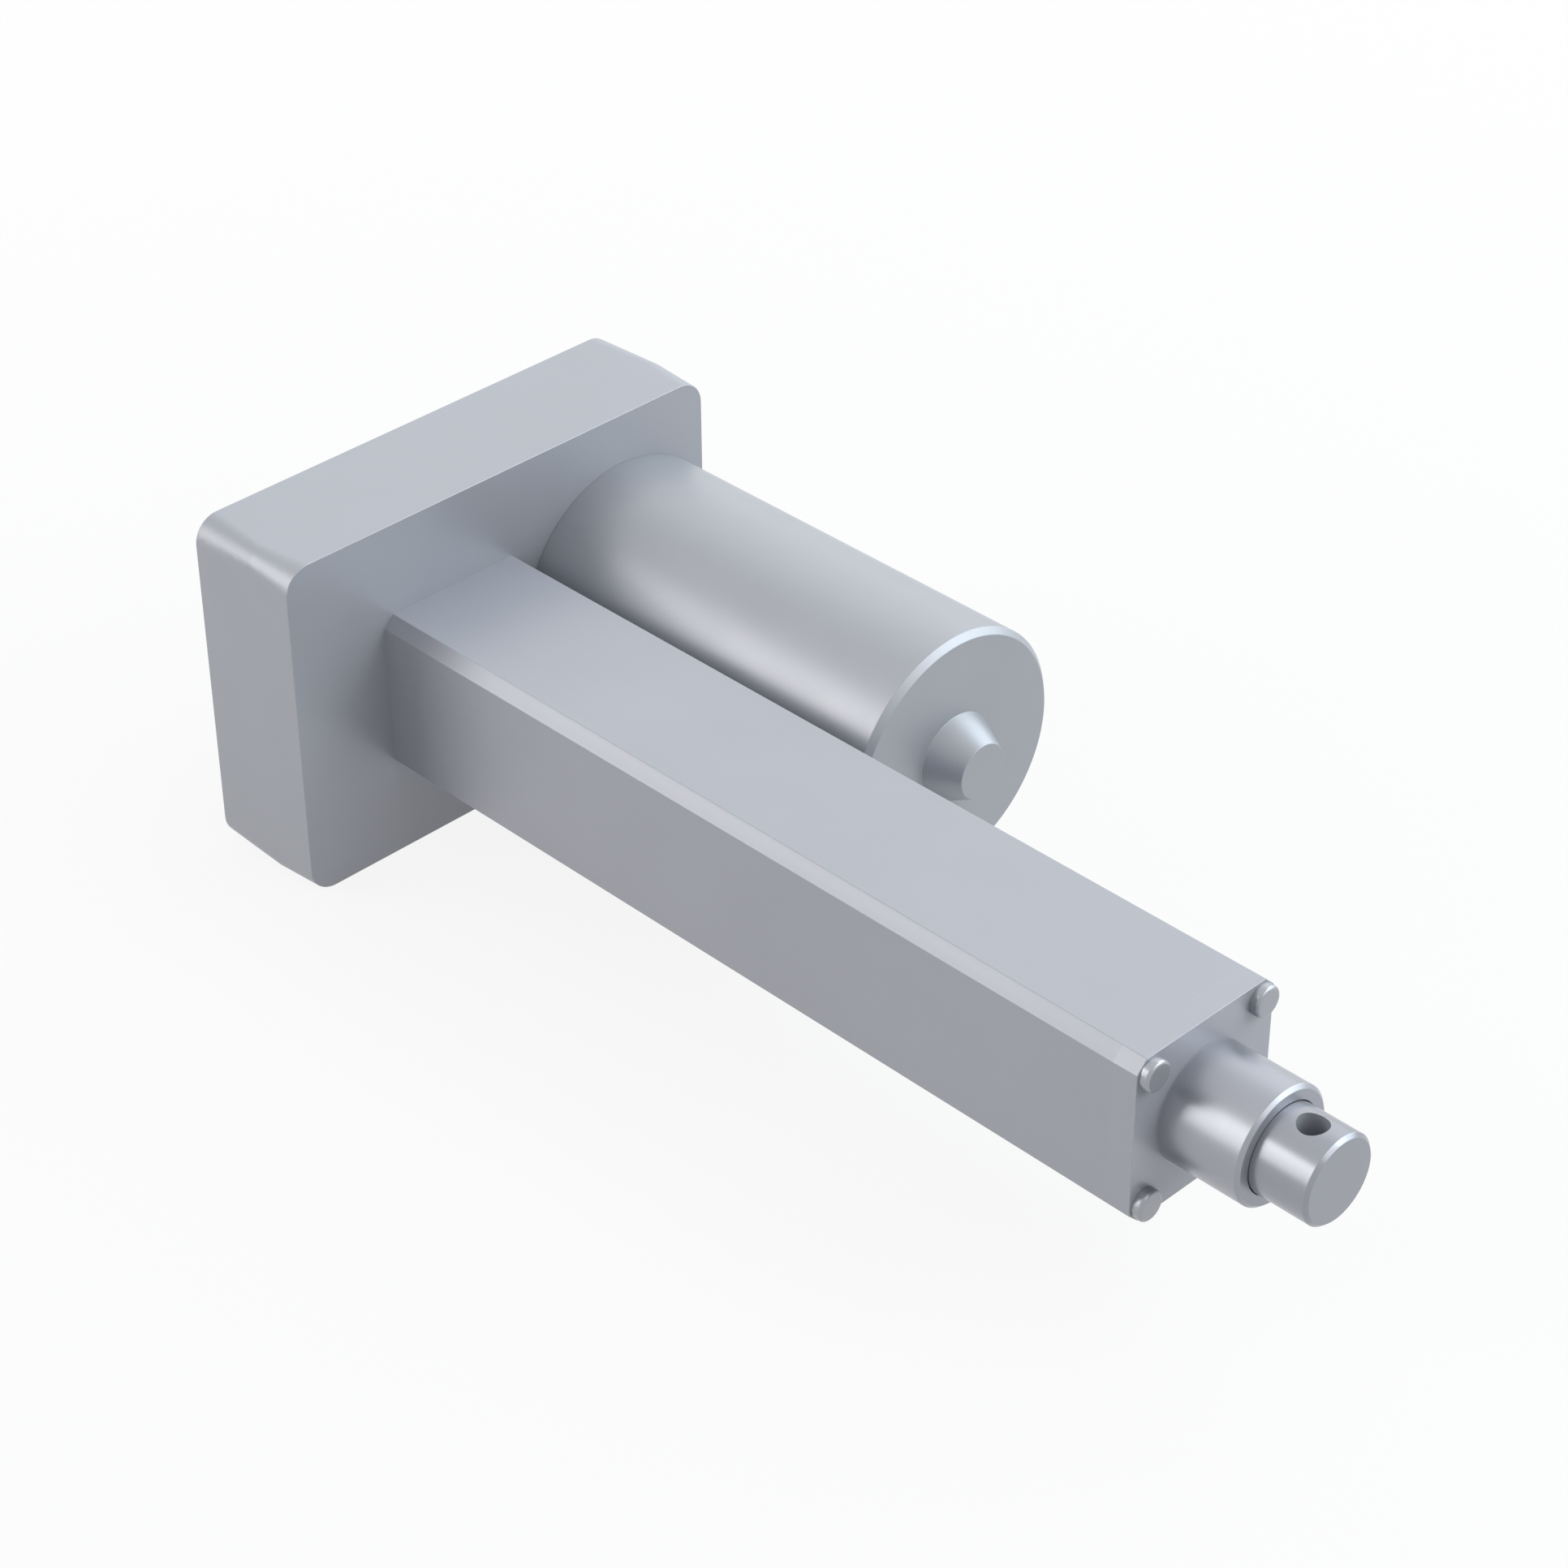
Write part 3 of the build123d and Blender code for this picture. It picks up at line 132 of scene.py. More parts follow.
class ActuatorSizes(PropertyGroup):
    """Sizes that the surfaces add to the solids."""

    casting_edge: length_setting(
        "Casting edge", "Rounding on the outer rims of the gearbox castings", 0.20 * MM
    )
    machined_edge: length_setting(
        "Machined edge", "Rounding that breaks the edges of turned and sawn pieces", 0.12 * MM
    )
    pin_hole_radius: length_setting(
        "Pin hole radius", "Radius of the cross holes in both eyes", 3.3 * MM
    )
    pin_hole_reach: length_setting(
        "Pin hole reach", "Distance from each eye's tip to the middle of its cross hole", 7.25 * MM
    )
    eye_chamfer: length_setting(
        "Eye chamfer", "Width of the chamfer on the tip of both eyes", 0.8 * MM
    )
    screw_head_radius: length_setting(
        "Screw head radius", "Radius of the heads of the M4 screws", 3.5 * MM
    )
    screw_head_height: length_setting(
        "Screw head height", "Height of the heads of the M4 screws", 2.2 * MM
    )
    screw_head_rim: length_setting(
        "Screw head rim", "Rounding round the top of each screw head", 0.75 * MM
    )
    screw_shank_radius: length_setting(
        "Screw shank radius", "Radius of the shanks of the M4 screws", 2.0 * MM
    )
    hex_key: length_setting(
        "Hex key", "Width across the flats of the sockets in the cover screws", 2.5 * MM
    )
    thread_lead: length_setting(
        "Thread lead", "Travel of the nut for one turn of the screw", 3.0 * MM
    )
    thread_depth: length_setting(
        "Thread depth", "Height of the lead screw's thread from root to crest", 1.75 * MM
    )
    thread_crest: length_setting(
        "Thread crest", "Radius of the lead screw over its thread", 6.0 * MM
    )
    ring_groove: length_setting("Ring groove", "Depth of the grooves for the snap rings", 0.6 * MM)
    round_steps: IntProperty(
        name="Round steps",
        description="Number of straight steps round each turned piece",
        default=144,
        min=24,
    )


class ActuatorFinishes(PropertyGroup):
    """Colours of the finishes that show on the outside."""

    casting_colour: colour_setting(
        "Castings", "Colour of the blasted aluminium castings", (0.325, 0.338, 0.375)
    )
    tube_colour: colour_setting(
        "Tube", "Colour of the anodised tube and end cap", (0.325, 0.335, 0.375)
    )
    motor_colour: colour_setting(
        "Motor can", "Colour of the plated motor can", (0.330, 0.342, 0.375)
    )
    rod_colour: colour_setting(
        "Rod", "Colour of the ground steel rod and eyes", (0.292, 0.303, 0.338)
    )
    fastener_colour: colour_setting(
        "Fasteners", "Colour of the plated screws", (0.330, 0.340, 0.370)
    )


class ActuatorStage(PropertyGroup):
    """The floor, the lamps and the camera."""

    floor_colour: colour_setting("Floor", "Colour of the plain floor", (0.60, 0.60, 0.60))
    floor_whiteness: FloatProperty(
        name="Floor whiteness",
        description="Share of plain white in the floor where it is seen directly",
        default=0.88,
        min=0.0,
        max=1.0,
    )
    sky_strength: light_setting("Sky strength", "Strength of the even light from all round", 0.6)
    wide_radiance: light_setting(
        "Wide lamp", "Brightness of the wide faint lamp beyond the motor and the gearbox", 0.55
    )
    window_radiance: light_setting(
        "Window lamp", "Brightness of the large bluish lamp on the motor's side", 2.5
    )
    front_radiance: light_setting(
        "Front lamp", "Brightness of the faint lamp before the rod's end", 1.75
    )
    key_radiance: light_setting(
        "Key lamp", "Brightness of the lamp behind the gearbox, on the tube's side", 3.5
    )
    overhead_radiance: light_setting("Overhead lamp", "Brightness of the large lamp above", 0.22)
    camera_place: FloatVectorProperty(
        name="Camera place",
        description="Where the camera stands",
        subtype="XYZ",
        size=3,
        default=(0.62309699, -0.46446734, 0.48191711),
        unit="LENGTH",
    )
    camera_azimuth: angle_setting(
        "Azimuth", "Compass angle of the camera's view, where 0 looks along +Y", 45.63588537
    )
    camera_elevation: angle_setting(
        "Elevation", "Angle of the camera above the horizon", 34.94946474
    )
    camera_roll: angle_setting(
        "Roll", "Turn of the camera about its own line of sight", -0.37437388
    )
    camera_lens: FloatProperty(
        name="Lens",
        description="Focal length on a 36 mm sensor",
        default=89.9683,
        subtype="DISTANCE_CAMERA",
    )


# Outlines


def rounded_corners(corners, radius, steps=4):
    """Rounds the inner corners of an open outline of points in a plane.

    Each corner becomes the quadratic blend of a start, the corner and an end, where start and
    end lie at the given distance from it, or at two fifths of the shorter side beside it.
    """
    corners = np.asarray(corners, dtype=float)
    before = corners[:-2] - corners[1:-1]
    after = corners[2:] - corners[1:-1]
    before_length = np.linalg.norm(before, axis=1)
    after_length = np.linalg.norm(after, axis=1)
    reach = np.minimum(radius, 0.4 * np.minimum(before_length, after_length))
    start = corners[1:-1] + before * (reach / before_length)[:, None]
    end = corners[1:-1] + after * (reach / after_length)[:, None]
    blend = np.linspace(0.0, 1.0, steps + 1)[None, :, None]
    curves = (
        (1 - blend) ** 2 * start[:, None, :]
        + 2 * blend * (1 - blend) * corners[1:-1, None, :]
        + blend**2 * end[:, None, :]
    )
    return np.vstack([corners[:1], curves.reshape(-1, 2), corners[-1:]])


def rounded_loop(corners, radius, steps=4):
    """Rounds every corner of a closed outline, as rounded_corners does for an open one."""
    corners = np.asarray(corners, dtype=float)
    return rounded_corners(np.vstack([corners[-1:], corners, corners[:1]]), radius, steps)[1:-1]


def quarter_arc(station, radius, depth, rise, steps=8):
    """A quarter of an ellipse from (station, radius) to (station + depth, radius + rise).

    It leaves the start square to X and reaches the end along X: the station follows one less
    the cosine of the angle, and the radius follows its sine.
    """
    angle = np.linspace(0.0, np.pi / 2, steps + 1)
    return np.column_stack([station + depth * (1 - np.cos(angle)), radius + rise * np.sin(angle)])


def even_angles(steps):
    """Angles that divide a full turn evenly."""
    return 2 * np.pi * np.arange(steps) / steps


# Surfaces


def carried_round(stations, radii, angles, centre=(0.0, 0.0)):
    """A grid of points: row i lies at stations[i] and at radii[i] from a line along X.

    The radii have one column, or one for each angle. The angle turns from +Y towards +Z.
    """
    radii = np.asarray(radii, dtype=float).reshape(len(radii), -1)
    rows = np.empty((len(stations), len(angles), 3))
    rows[:, :, 0] = np.asarray(stations, dtype=float)[:, None]
    rows[:, :, 1] = centre[0] + radii * np.cos(angles)
    rows[:, :, 2] = centre[1] + radii * np.sin(angles)
    return rows


def all_round(outline, angles):
    """The radii of an outline of (station, radius) points, repeated at every angle."""
    return np.repeat(np.asarray(outline)[:, 1:], len(angles), axis=1)


def shell(rows, closed_rows=False):
    """Points, four-sided faces and triangles of one closed surface made of closed rows.

    Neighbouring rows and columns are joined by four-sided faces. An open stack of rows is
    closed with a fan from the middle of its first and last row, and a closed one joins its
    last row to its first. The faces are turned so that they enclose a positive volume: the
    sum over all faces of the box product of their corners.
    """
    row_count, column_count = rows.shape[:2]
    points = rows.reshape(-1, 3)
    row = np.arange(row_count if closed_rows else row_count - 1)[:, None] * column_count
    next_row = (row + column_count) % (row_count * column_count)
    column = np.arange(column_count)[None, :]
    next_column = (column + 1) % column_count
    corners = (row + column, next_row + column, next_row + next_column, row + next_column)
    quads = np.stack(corners, axis=-1).reshape(-1, 4)
    triangles = np.zeros((0, 3), dtype=int)
    if not closed_rows:
        first, beside = column.ravel(), next_column.ravel()
        last = (row_count - 1) * column_count
        middles = np.full(column_count, len(points))
        triangles = np.vstack(
            [
                np.column_stack([middles, first, beside]),
                np.column_stack([middles + 1, last + beside, last + first]),
            ]
        )
        points = np.vstack([points, rows[0].mean(axis=0), rows[-1].mean(axis=0)])
    halves = np.vstack([quads[:, [0, 1, 2]], quads[:, [0, 2, 3]], triangles])
    a, b, c = points[halves].transpose(1, 0, 2)
    if np.einsum("ij,ij->", a, np.cross(b, c)) < 0:
        quads = quads[:, ::-1]
        triangles = triangles[:, ::-1]
    return points, quads, triangles


def turned(profile, steps, centre=(0.0, 0.0), closed=False):
    """A shell turned about a line along X from an outline of (station, radius) points."""
    profile = np.asarray(profile, dtype=float)
    return shell(carried_round(profile[:, 0], profile[:, 1], even_angles(steps), centre), closed)


def upright_prism(outline, lowest, highest):
    """A shell that carries a closed (x, y) outline from one height to another."""
    outline = np.asarray(outline, dtype=float)
    rows = np.empty((2, len(outline), 3))
    rows[:, :, :2] = outline
    rows[:, :, 2] = np.array([[lowest], [highest]])
    return shell(rows)


def pin_hole(station, sizes):
    """The upright cylinder that is cut from an eye for its pin."""
    angles = even_angles(sizes.round_steps)
    circle = sizes.pin_hole_radius * np.column_stack([np.cos(angles), np.sin(angles)])
    return upright_prism(circle + (station, 0.0), -2 * rod_radius, 2 * rod_radius)


def thread_radius(stations, angles, sizes):
    """The radius of the right-handed trapezoid thread at every station and angle.

    The phase is the station over the lead less the angle's share of a turn. Its distance from
    a half, times the lead, runs from the middle of a crest. Within half the crest's width the
    radius is the crest's, beyond it the flank falls at 15 degrees, and the rest is the root.
    """
    lead, depth = sizes.thread_lead, sizes.thread_depth
    phase = (stations[:, None] / lead - angles[None, :] / (2 * np.pi)) % 1.0
    from_crest = np.abs(phase - 0.5) * lead
    crest_half = 0.183 * lead
    flank = depth * np.tan(np.radians(15.0))
    share = np.clip((crest_half + flank - from_crest) / flank, 0.0, 1.0)
    return sizes.thread_crest - depth * (1.0 - share)


# Pieces


def placed(name, data):
    """A new object in the scene that holds the data."""
    made = bpy.data.objects.new(name, data)
    bpy.context.scene.collection.objects.link(made)
    return made


def mesh_from(name, shells):
    """One smoothly shaded mesh from several closed shells."""
    points = np.vstack([part[0] for part in shells])
    offsets = np.cumsum([0, *(len(part[0]) for part in shells)])
    faces = []
    for (_, quads, triangles), offset in zip(shells, offsets):
        faces += (quads + offset).tolist()
        faces += (triangles + offset).tolist()
    mesh = bpy.data.meshes.new(name)
    mesh.from_pydata(points.tolist(), [], faces)
    return smooth(mesh)


def smooth(mesh):
    """Marks every face of a mesh as smoothly shaded, and edges past 35 degrees as sharp."""
    mesh.polygons.foreach_set("use_smooth", np.ones(len(mesh.polygons), dtype=bool))
    mesh.set_sharp_from_angle(angle=np.radians(35))
    mesh.update()
    return mesh


def cut(mesh, cutters):
    """A copy of the mesh with holes where the cutting shells were."""
    work = placed("work", mesh)
    cutter = placed("cutter", mesh_from("cutter", cutters))
    hole = work.modifiers.new("Holes", "BOOLEAN")
    hole.operation = "DIFFERENCE"
    hole.solver = "EXACT"
    hole.object = cutter
    view = bpy.context.evaluated_depsgraph_get()
    finished = bpy.data.meshes.new_from_object(work.evaluated_get(view))
    bpy.data.objects.remove(work)
    bpy.data.objects.remove(cutter)
    if not finished.polygons:
        raise RuntimeError(f"the holes left nothing of {mesh.name}")
    return smooth(finished)


def softened_copy(node, is_rim, width):
    """A merged copy of a node's mesh, whose chosen outward edges are rounded.

    A rim is an outward edge where the surface turns by more than 30 degrees and for which
    is_rim holds, given the places of its two ends.
    """
    shape = bmesh.new()
    shape.from_mesh(nodes[node].data)
    bmesh.ops.remove_doubles(shape, verts=shape.verts, dist=0.001 * MM)
    bmesh.ops.dissolve_limit(
        shape, angle_limit=np.radians(0.2), verts=shape.verts, edges=shape.edges
    )
    rims = [
        edge
        for edge in shape.edges
        if edge.is_manifold
        and edge.is_convex
        and edge.calc_face_angle() > np.radians(30)
        and is_rim(*(corner.co for corner in edge.verts))
    ]
    if not rims:
        raise RuntimeError(f"{node} has no rims to round")
    bmesh.ops.bevel(
        shape, geom=rims, offset=width, segments=3, profile=0.5, affect="EDGES", clamp_overlap=True
    )
    mesh = bpy.data.meshes.new(node + "_surface")
    shape.to_mesh(mesh)
    shape.free()
    return smooth(mesh)


def piece(node, mesh, material):
    """A piece that stands for one node: it rides on the node's body, and the node is hidden."""
    made = placed(node + "_surface", mesh)
    mesh.materials.clear()
    mesh.materials.append(material)
    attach(made, body_of_node[node])
    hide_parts(node)
    return made


def broken_edges(made, width):
    """Edges where the surface turns by more than 30 degrees are rounded by the given width."""
    bevel = made.modifiers.new("Broken edges", "BEVEL")
    bevel.width = width
    bevel.segments = 2
    bevel.limit_method = "ANGLE"
    bevel.angle_limit = np.radians(30)
    return made


def even_shading(made):
    """Flat sides are shaded flat, because each corner follows its larger faces."""
    weighted = made.modifiers.new("Even shading", "WEIGHTED_NORMAL")
    weighted.mode = "FACE_AREA"
    weighted.keep_sharp = True
    return made


def shaded_piece(node, shells, material):
    """An evenly shaded piece that stands for one node and is made of closed shells."""
    return even_shading(piece(node, mesh_from(node + "_surface", shells), material))


def eye_piece(node, outline, cutters, material, sizes):
    """A turned eye with its holes cut and its edges softly broken."""
    rounded = rounded_corners(outline, sizes.machined_edge / 2)
    whole = mesh_from(node + "_surface", [turned(rounded, sizes.round_steps)])
    made = piece(node, cut(whole, cutters), material)
    return even_shading(broken_edges(made, sizes.machined_edge))


def paint(material, *painted):
    """Gives carried-over nodes their finish."""
    for node in painted:
        for holder in nodes[node].material_slots:
            holder.material = material


# Finishes


# Shares of bare metal in the finishes of the tube and of the rod
anodised_share = 0.30
ground_share = 0.66


def add_node(tree, kind, inputs, **settings):
    """A node with its settings, each input set to a value or linked to another's output."""
    made = tree.nodes.new(kind)
    for name, value in settings.items():
        setattr(made, name, value)
    for socket, value in inputs.items():
        if isinstance(value, bpy.types.NodeSocket):
            tree.links.new(value, made.inputs[socket])
        else:
            made.inputs[socket].default_value = value
    return made


def object_place(tree):
    """The coordinates of the actuator's own frame, which every pattern reads."""
    return add_node(tree, "ShaderNodeTexCoord", {}).outputs["Object"]


def distance_from(tree, place, point):
    """The distance of a place from a point."""
    ends = {0: place, 1: point}
    return add_node(tree, "ShaderNodeVectorMath", ends, operation="DISTANCE").outputs["Value"]


def finish(name, colour, metallic, roughness):
    """A material with its shader set, and the coordinates that its patterns read."""
    material = bpy.data.materials.new(name)
    material.use_nodes = True
    tree = material.node_tree
    shader = tree.nodes["Principled BSDF"]
    shader.inputs["Base Color"].default_value = (*colour, 1.0)
    shader.inputs["Metallic"].default_value = metallic
    shader.inputs["Roughness"].default_value = roughness
    return material, tree, shader, object_place(tree)


def stretched(tree, place, scale):
    """The coordinates scaled by three factors, for a pattern that runs along one way."""
    return add_node(tree, "ShaderNodeMapping", {"Vector": place, "Scale": scale}).outputs["Vector"]


def noise(tree, place, scale, detail=3.0, roughness=0.5):
    """A noise pattern with values from 0 to 1 and the given number of features in a metre."""
    inputs = {"Vector": place, "Scale": scale, "Detail": detail, "Roughness": roughness}
    return add_node(tree, "ShaderNodeTexNoise", inputs).outputs["Fac"]


def bands(tree, place, direction, pitch, distortion=0.0):
    """Soft bands across one direction, one for every pitch."""
    inputs = {"Vector": place, "Scale": np.pi / (10 * pitch), "Distortion": distortion}
    wave = add_node(tree, "ShaderNodeTexWave", inputs, wave_type="BANDS", bands_direction=direction)
    return wave.outputs["Fac"]


def carried_over(tree, value, start, end, first, last):
    """A value from start to end carried over to the range from first to last."""
    ends = {"From Min": start, "From Max": end, "To Min": first, "To Max": last}
    return add_node(tree, "ShaderNodeMapRange", {"Value": value, **ends}).outputs["Result"]


def spread(tree, value, lowest, highest):
    """A noise pattern's middle values stretched to run between two values."""
    return carried_over(tree, value, 0.3, 0.7, lowest, highest)


def tint(tree, shader, value, colour, change):
    """The shader's colour is made darker and lighter by the pattern, by the given share."""
    dark = [part * (1 - change) for part in colour]
    light = [min(1.0, part * (1 + change)) for part in colour]
    # A mix of colours has its share at socket 0 and the two colours at 6 and 7
    inputs = {0: spread(tree, value, 0.0, 1.0), 6: (*dark, 1.0), 7: (*light, 1.0)}
    mix = add_node(tree, "ShaderNodeMix", inputs, data_type="RGBA")
    tree.links.new(mix.outputs[2], shader.inputs["Base Color"])


def gloss(tree, shader, value, lowest, highest):
    """The shader's roughness follows the pattern between two values."""
    tree.links.new(spread(tree, value, lowest, highest), shader.inputs["Roughness"])


def relief(tree, shader, value, height):
    """Bumps on the surface that follow the pattern, up to the given height."""
    bump = add_node(tree, "ShaderNodeBump", {"Height": value, "Strength": 1.0, "Distance": height})
    tree.links.new(bump.outputs["Normal"], shader.inputs["Normal"])


def blasted_casting(name, colour):
    """Blasted aluminium: an even fine grain with faint clouds in tone and gloss."""
    material, tree, shader, place = finish(name, colour, 0.35, 0.42)
    clouds = noise(tree, place, 45.0, 2.0)
    tint(tree, shader, clouds, colour, 0.02)
    gloss(tree, shader, clouds, 0.38, 0.43)
    relief(tree, shader, noise(tree, place, 1800.0, 2.0, 0.6), 0.006 * MM)
    return material


def drawn_metal(name, colour):
    """Anodised extrusion: faint die lines along X over a satin ground."""
    material, tree, shader, place = finish(name, colour, anodised_share, 0.38)
    lines = noise(tree, stretched(tree, place, (5.0, 900.0, 900.0)), 1.0, 3.0, 0.6)
    tint(tree, shader, noise(tree, place, 30.0, 2.0), colour, 0.015)
    gloss(tree, shader, lines, 0.35, 0.40)
    relief(tree, shader, lines, 0.003 * MM)
    return material


def turned_metal(name, colour, roughness, marks=1.0, metallic=1.0):
    """Turned or ground metal: fine lines round the X axis, which vary mostly along X.

    The marks scale the height of the lines, and how much their gloss differs.
    """
    material, tree, shader, place = finish(name, colour, metallic, roughness)
    lines = noise(tree, stretched(tree, place, (1400.0, 4.0, 4.0)), 1.0, 2.0)
    tint(tree, shader, noise(tree, place, 60.0, 2.0), colour, 0.015)
    gloss(tree, shader, lines, roughness - 0.02 * marks, roughness + 0.03 * marks)
    relief(tree, shader, lines, 0.002 * MM * marks)
    return material


def metal_share(tree, measure, limit, below, above):
    """The share of bare metal in a finish changes at a limit, within a tenth of a millimetre."""
    share = carried_over(tree, measure, limit, limit + 0.1 * MM, below, above)
    tree.links.new(share, tree.nodes["Principled BSDF"].inputs["Metallic"])


def flanged_collar(name, colour, roughness, station, metallic):
    """Turned metal whose flange, up to a station along X, is as matte as the tube behind it."""
    material = turned_metal(name, colour, roughness)
    tree = material.node_tree
    split = add_node(tree, "ShaderNodeSeparateXYZ", {"Vector": object_place(tree)})
    metal_share(tree, split.outputs["X"], station, anodised_share, metallic)
    return material


def bored_metal(name, colour, roughness, marks, station, radius):
    """Turned metal whose upright pin hole, at a station along X, has a dull wall."""
    material = turned_metal(name, colour, roughness, marks)
    tree = material.node_tree
    level_place = stretched(tree, object_place(tree), (1.0, 1.0, 0.0))
    from_axis = distance_from(tree, level_place, (station, 0.0, 0.0))
    metal_share(tree, from_axis, radius, 0.0, ground_share)
    return material


def plated_metal(name, colour, roughness, metallic=1.0):
    """Plated steel: smooth, with faint clouds in tone and gloss and a very fine grain."""
    material, tree, shader, place = finish(name, colour, metallic, roughness)
    clouds = noise(tree, place, 70.0, 3.0)
    tint(tree, shader, clouds, colour, 0.02)
    gloss(tree, shader, clouds, roughness - 0.02, roughness + 0.03)
    relief(tree, shader, noise(tree, place, 2600.0, 2.0), 0.002 * MM)
    return material


def moulded(name, colour, roughness, grain_in_metre=1200.0, height=0.02 * MM):
    """Moulded plastic, resin or rubber: a fine grain and faint clouds in tone."""
    material, tree, shader, place = finish(name, colour, 0.0, roughness)
    grain = noise(tree, place, grain_in_metre, 2.0)
    tint(tree, shader, noise(tree, place, 90.0, 2.0), colour, 0.08)
    gloss(tree, shader, grain, roughness - 0.05, roughness + 0.05)
    relief(tree, shader, grain, height)
    return material


def sintered(name, colour, roughness, pores_in_metre=2200.0):
    """Sintered or pressed metal and ceramic: a close field of small dark pores."""
    material, tree, shader, place = finish(name, colour, 1.0, roughness)
    pores = noise(tree, place, pores_in_metre, 4.0, 0.7)
    tint(tree, shader, pores, colour, 0.18)
    gloss(tree, shader, pores, roughness - 0.06, roughness + 0.08)
    relief(tree, shader, pores, 0.02 * MM)
    return material


def wound_wire(name, colour):
    """Enamelled wire: close ridges, each the width of one wire, with painted shade in the grooves
    and painted highlight on the crowns.
    """
    material, tree, shader, place = finish(name, colour, 1.0, 0.28)
    ridges = bands(tree, place, "Z", 0.6 * MM, 1.5)
    # Painted shade and highlight: the colour darkens in the grooves between wires and lightens on
    # their crowns
    tint(tree, shader, ridges, colour, 0.25)
    relief(tree, shader, ridges, 0.12 * MM)
    return material


def stacked_sheet(name, colour):
    """A stack of thin steel sheets: fine dark seams at every half millimetre along X."""
    material, tree, shader, place = finish(name, colour, 1.0, 0.45)
    seams = bands(tree, place, "X", 0.5 * MM)
    tint(tree, shader, seams, colour, 0.3)
    relief(tree, shader, seams, 0.02 * MM)
    return material


def laminate(name, colour):
    """Resin laminate: faint fibres across the board."""
    material, tree, shader, place = finish(name, colour, 0.0, 0.5)
    fibres = noise(tree, stretched(tree, place, (200.0, 1800.0, 300.0)), 1.0, 3.0)
    tint(tree, shader, fibres, colour, 0.2)
    gloss(tree, shader, fibres, 0.45, 0.55)
    relief(tree, shader, fibres, 0.01 * MM)
    return material


# The gearbox, the tube and the cap


def on_outer_wall(place, node):
    """Whether a place lies on the outer wall of a gearbox casting, seen along X.

    The outer corners are rounded, so their rim runs up to a corner's inset inside the box.
    """
    corner_inset = 2.2 * MM
    centre = (lows[node] + highs[node]) / 2
    half = (highs[node] - lows[node]) / 2
    beyond_y = abs(place.y - centre[1]) - half[1]
    beyond_z = abs(place.z - centre[2]) - half[2]
    return max(beyond_y, beyond_z) > -corner_inset


class ACTUATOR_OT_gearbox(Operator):
    """Draws the two gearbox castings with rounded outer rims."""

    bl_idname = "actuator.gearbox"
    bl_label = "Gearbox castings"

    def execute(self, context):
        edge = context.scene.actuator_sizes.casting_edge
        casting = blasted_casting("blasted_casting", context.scene.actuator_finishes.casting_colour)
        for node, face in (("rear_cover", rear_face), ("front_gearcase", front_face)):

            def outer_rim(start, end, node=node, face=face):
                on_face = max(abs(start.x - face), abs(end.x - face)) < same_place
                return on_face and on_outer_wall(start, node) and on_outer_wall(end, node)

            even_shading(piece(node, softened_copy(node, outer_rim, edge), casting))
        return {"FINISHED"}


class ACTUATOR_OT_outer_tube(Operator):
    """Draws the square outer tube with its long edges softly broken."""

    bl_idname = "actuator.outer_tube"
    bl_label = "Outer tube"

    shortest_edge = 100.0 * MM

    def execute(self, context):
        def long_edge(start, end):
            outside = max(abs(start.y), abs(start.z)) > tube_half_width - same_place
            return outside and abs(start.x - end.x) > self.shortest_edge

        material = drawn_metal("drawn_tube", context.scene.actuator_finishes.tube_colour)
        edge = context.scene.actuator_sizes.machined_edge
        even_shading(piece("outer_tube", softened_copy("outer_tube", long_edge, edge), material))
        return {"FINISHED"}


class ACTUATOR_OT_end_cap(Operator):
    """Draws the end cap with its guide collar, all of its outward edges softly broken."""

    bl_idname = "actuator.end_cap"
    bl_label = "End cap"

    matte_margin = 0.3 * MM

    def execute(self, context):
        sizes = context.scene.actuator_sizes
        tube_end = highs["outer_tube"][0]

        def off_the_tube(start, end):
            return max(start.x, end.x) > tube_end + same_place

        flange_face = highs["end_cap_screws"][0] - sizes.screw_head_height
        colour = context.scene.actuator_finishes.tube_colour
        matte_end = flange_face + self.matte_margin
        material = flanged_collar("machined_cap", colour, 0.32, matte_end, metallic=0.65)
        mesh = softened_copy("front_end_cap", off_the_tube, sizes.machined_edge)
        even_shading(piece("front_end_cap", mesh, material))
        return {"FINISHED"}


# The screws that show


def screw_head(top, seat, sizes):
    """The outline of a round head from the rim of its flat top down to the shank."""
    way = np.sign(seat - top)
    arc = quarter_arc(
        top,
        sizes.screw_head_radius - sizes.screw_head_rim,
        way * sizes.screw_head_rim,
        sizes.screw_head_rim,
    )
    return np.vstack([arc, [(seat, sizes.screw_head_radius), (seat, sizes.screw_shank_radius)]])


def shank(seat, tip, sizes):
    """The outline of a shank down to its chamfered tip."""
    chamfer = 0.5 * MM
    way = np.sign(tip - seat)
    radius = sizes.screw_shank_radius
    return np.array([(tip - way * chamfer, radius), (tip, radius - chamfer)])


class ACTUATOR_OT_cap_screws(Operator):
    """Draws the four plain round-headed screws on the end cap."""

    bl_idname = "actuator.cap_screws"
    bl_label = "End cap screws"

    def execute(self, context):
        sizes = context.scene.actuator_sizes
        tip, top = lows["end_cap_screws"][0], highs["end_cap_screws"][0]
        seat = top - sizes.screw_head_height
        spacing = highs["end_cap_screws"][1] - sizes.screw_head_radius
        flat_top = [(top, 0.5 * sizes.screw_shank_radius)]
        outline = np.vstack([flat_top, screw_head(top, seat, sizes), shank(seat, tip, sizes)])
        shells = [
            turned(outline, sizes.round_steps // 2, (side_y * spacing, side_z * spacing))
            for side_y in (-1, 1)
            for side_z in (-1, 1)
        ]
        colour = context.scene.actuator_finishes.fastener_colour
        material = plated_metal("plated_cap_screw", colour, 0.30, metallic=0.6)
        shaded_piece("end_cap_screws", shells, material)
        return {"FINISHED"}


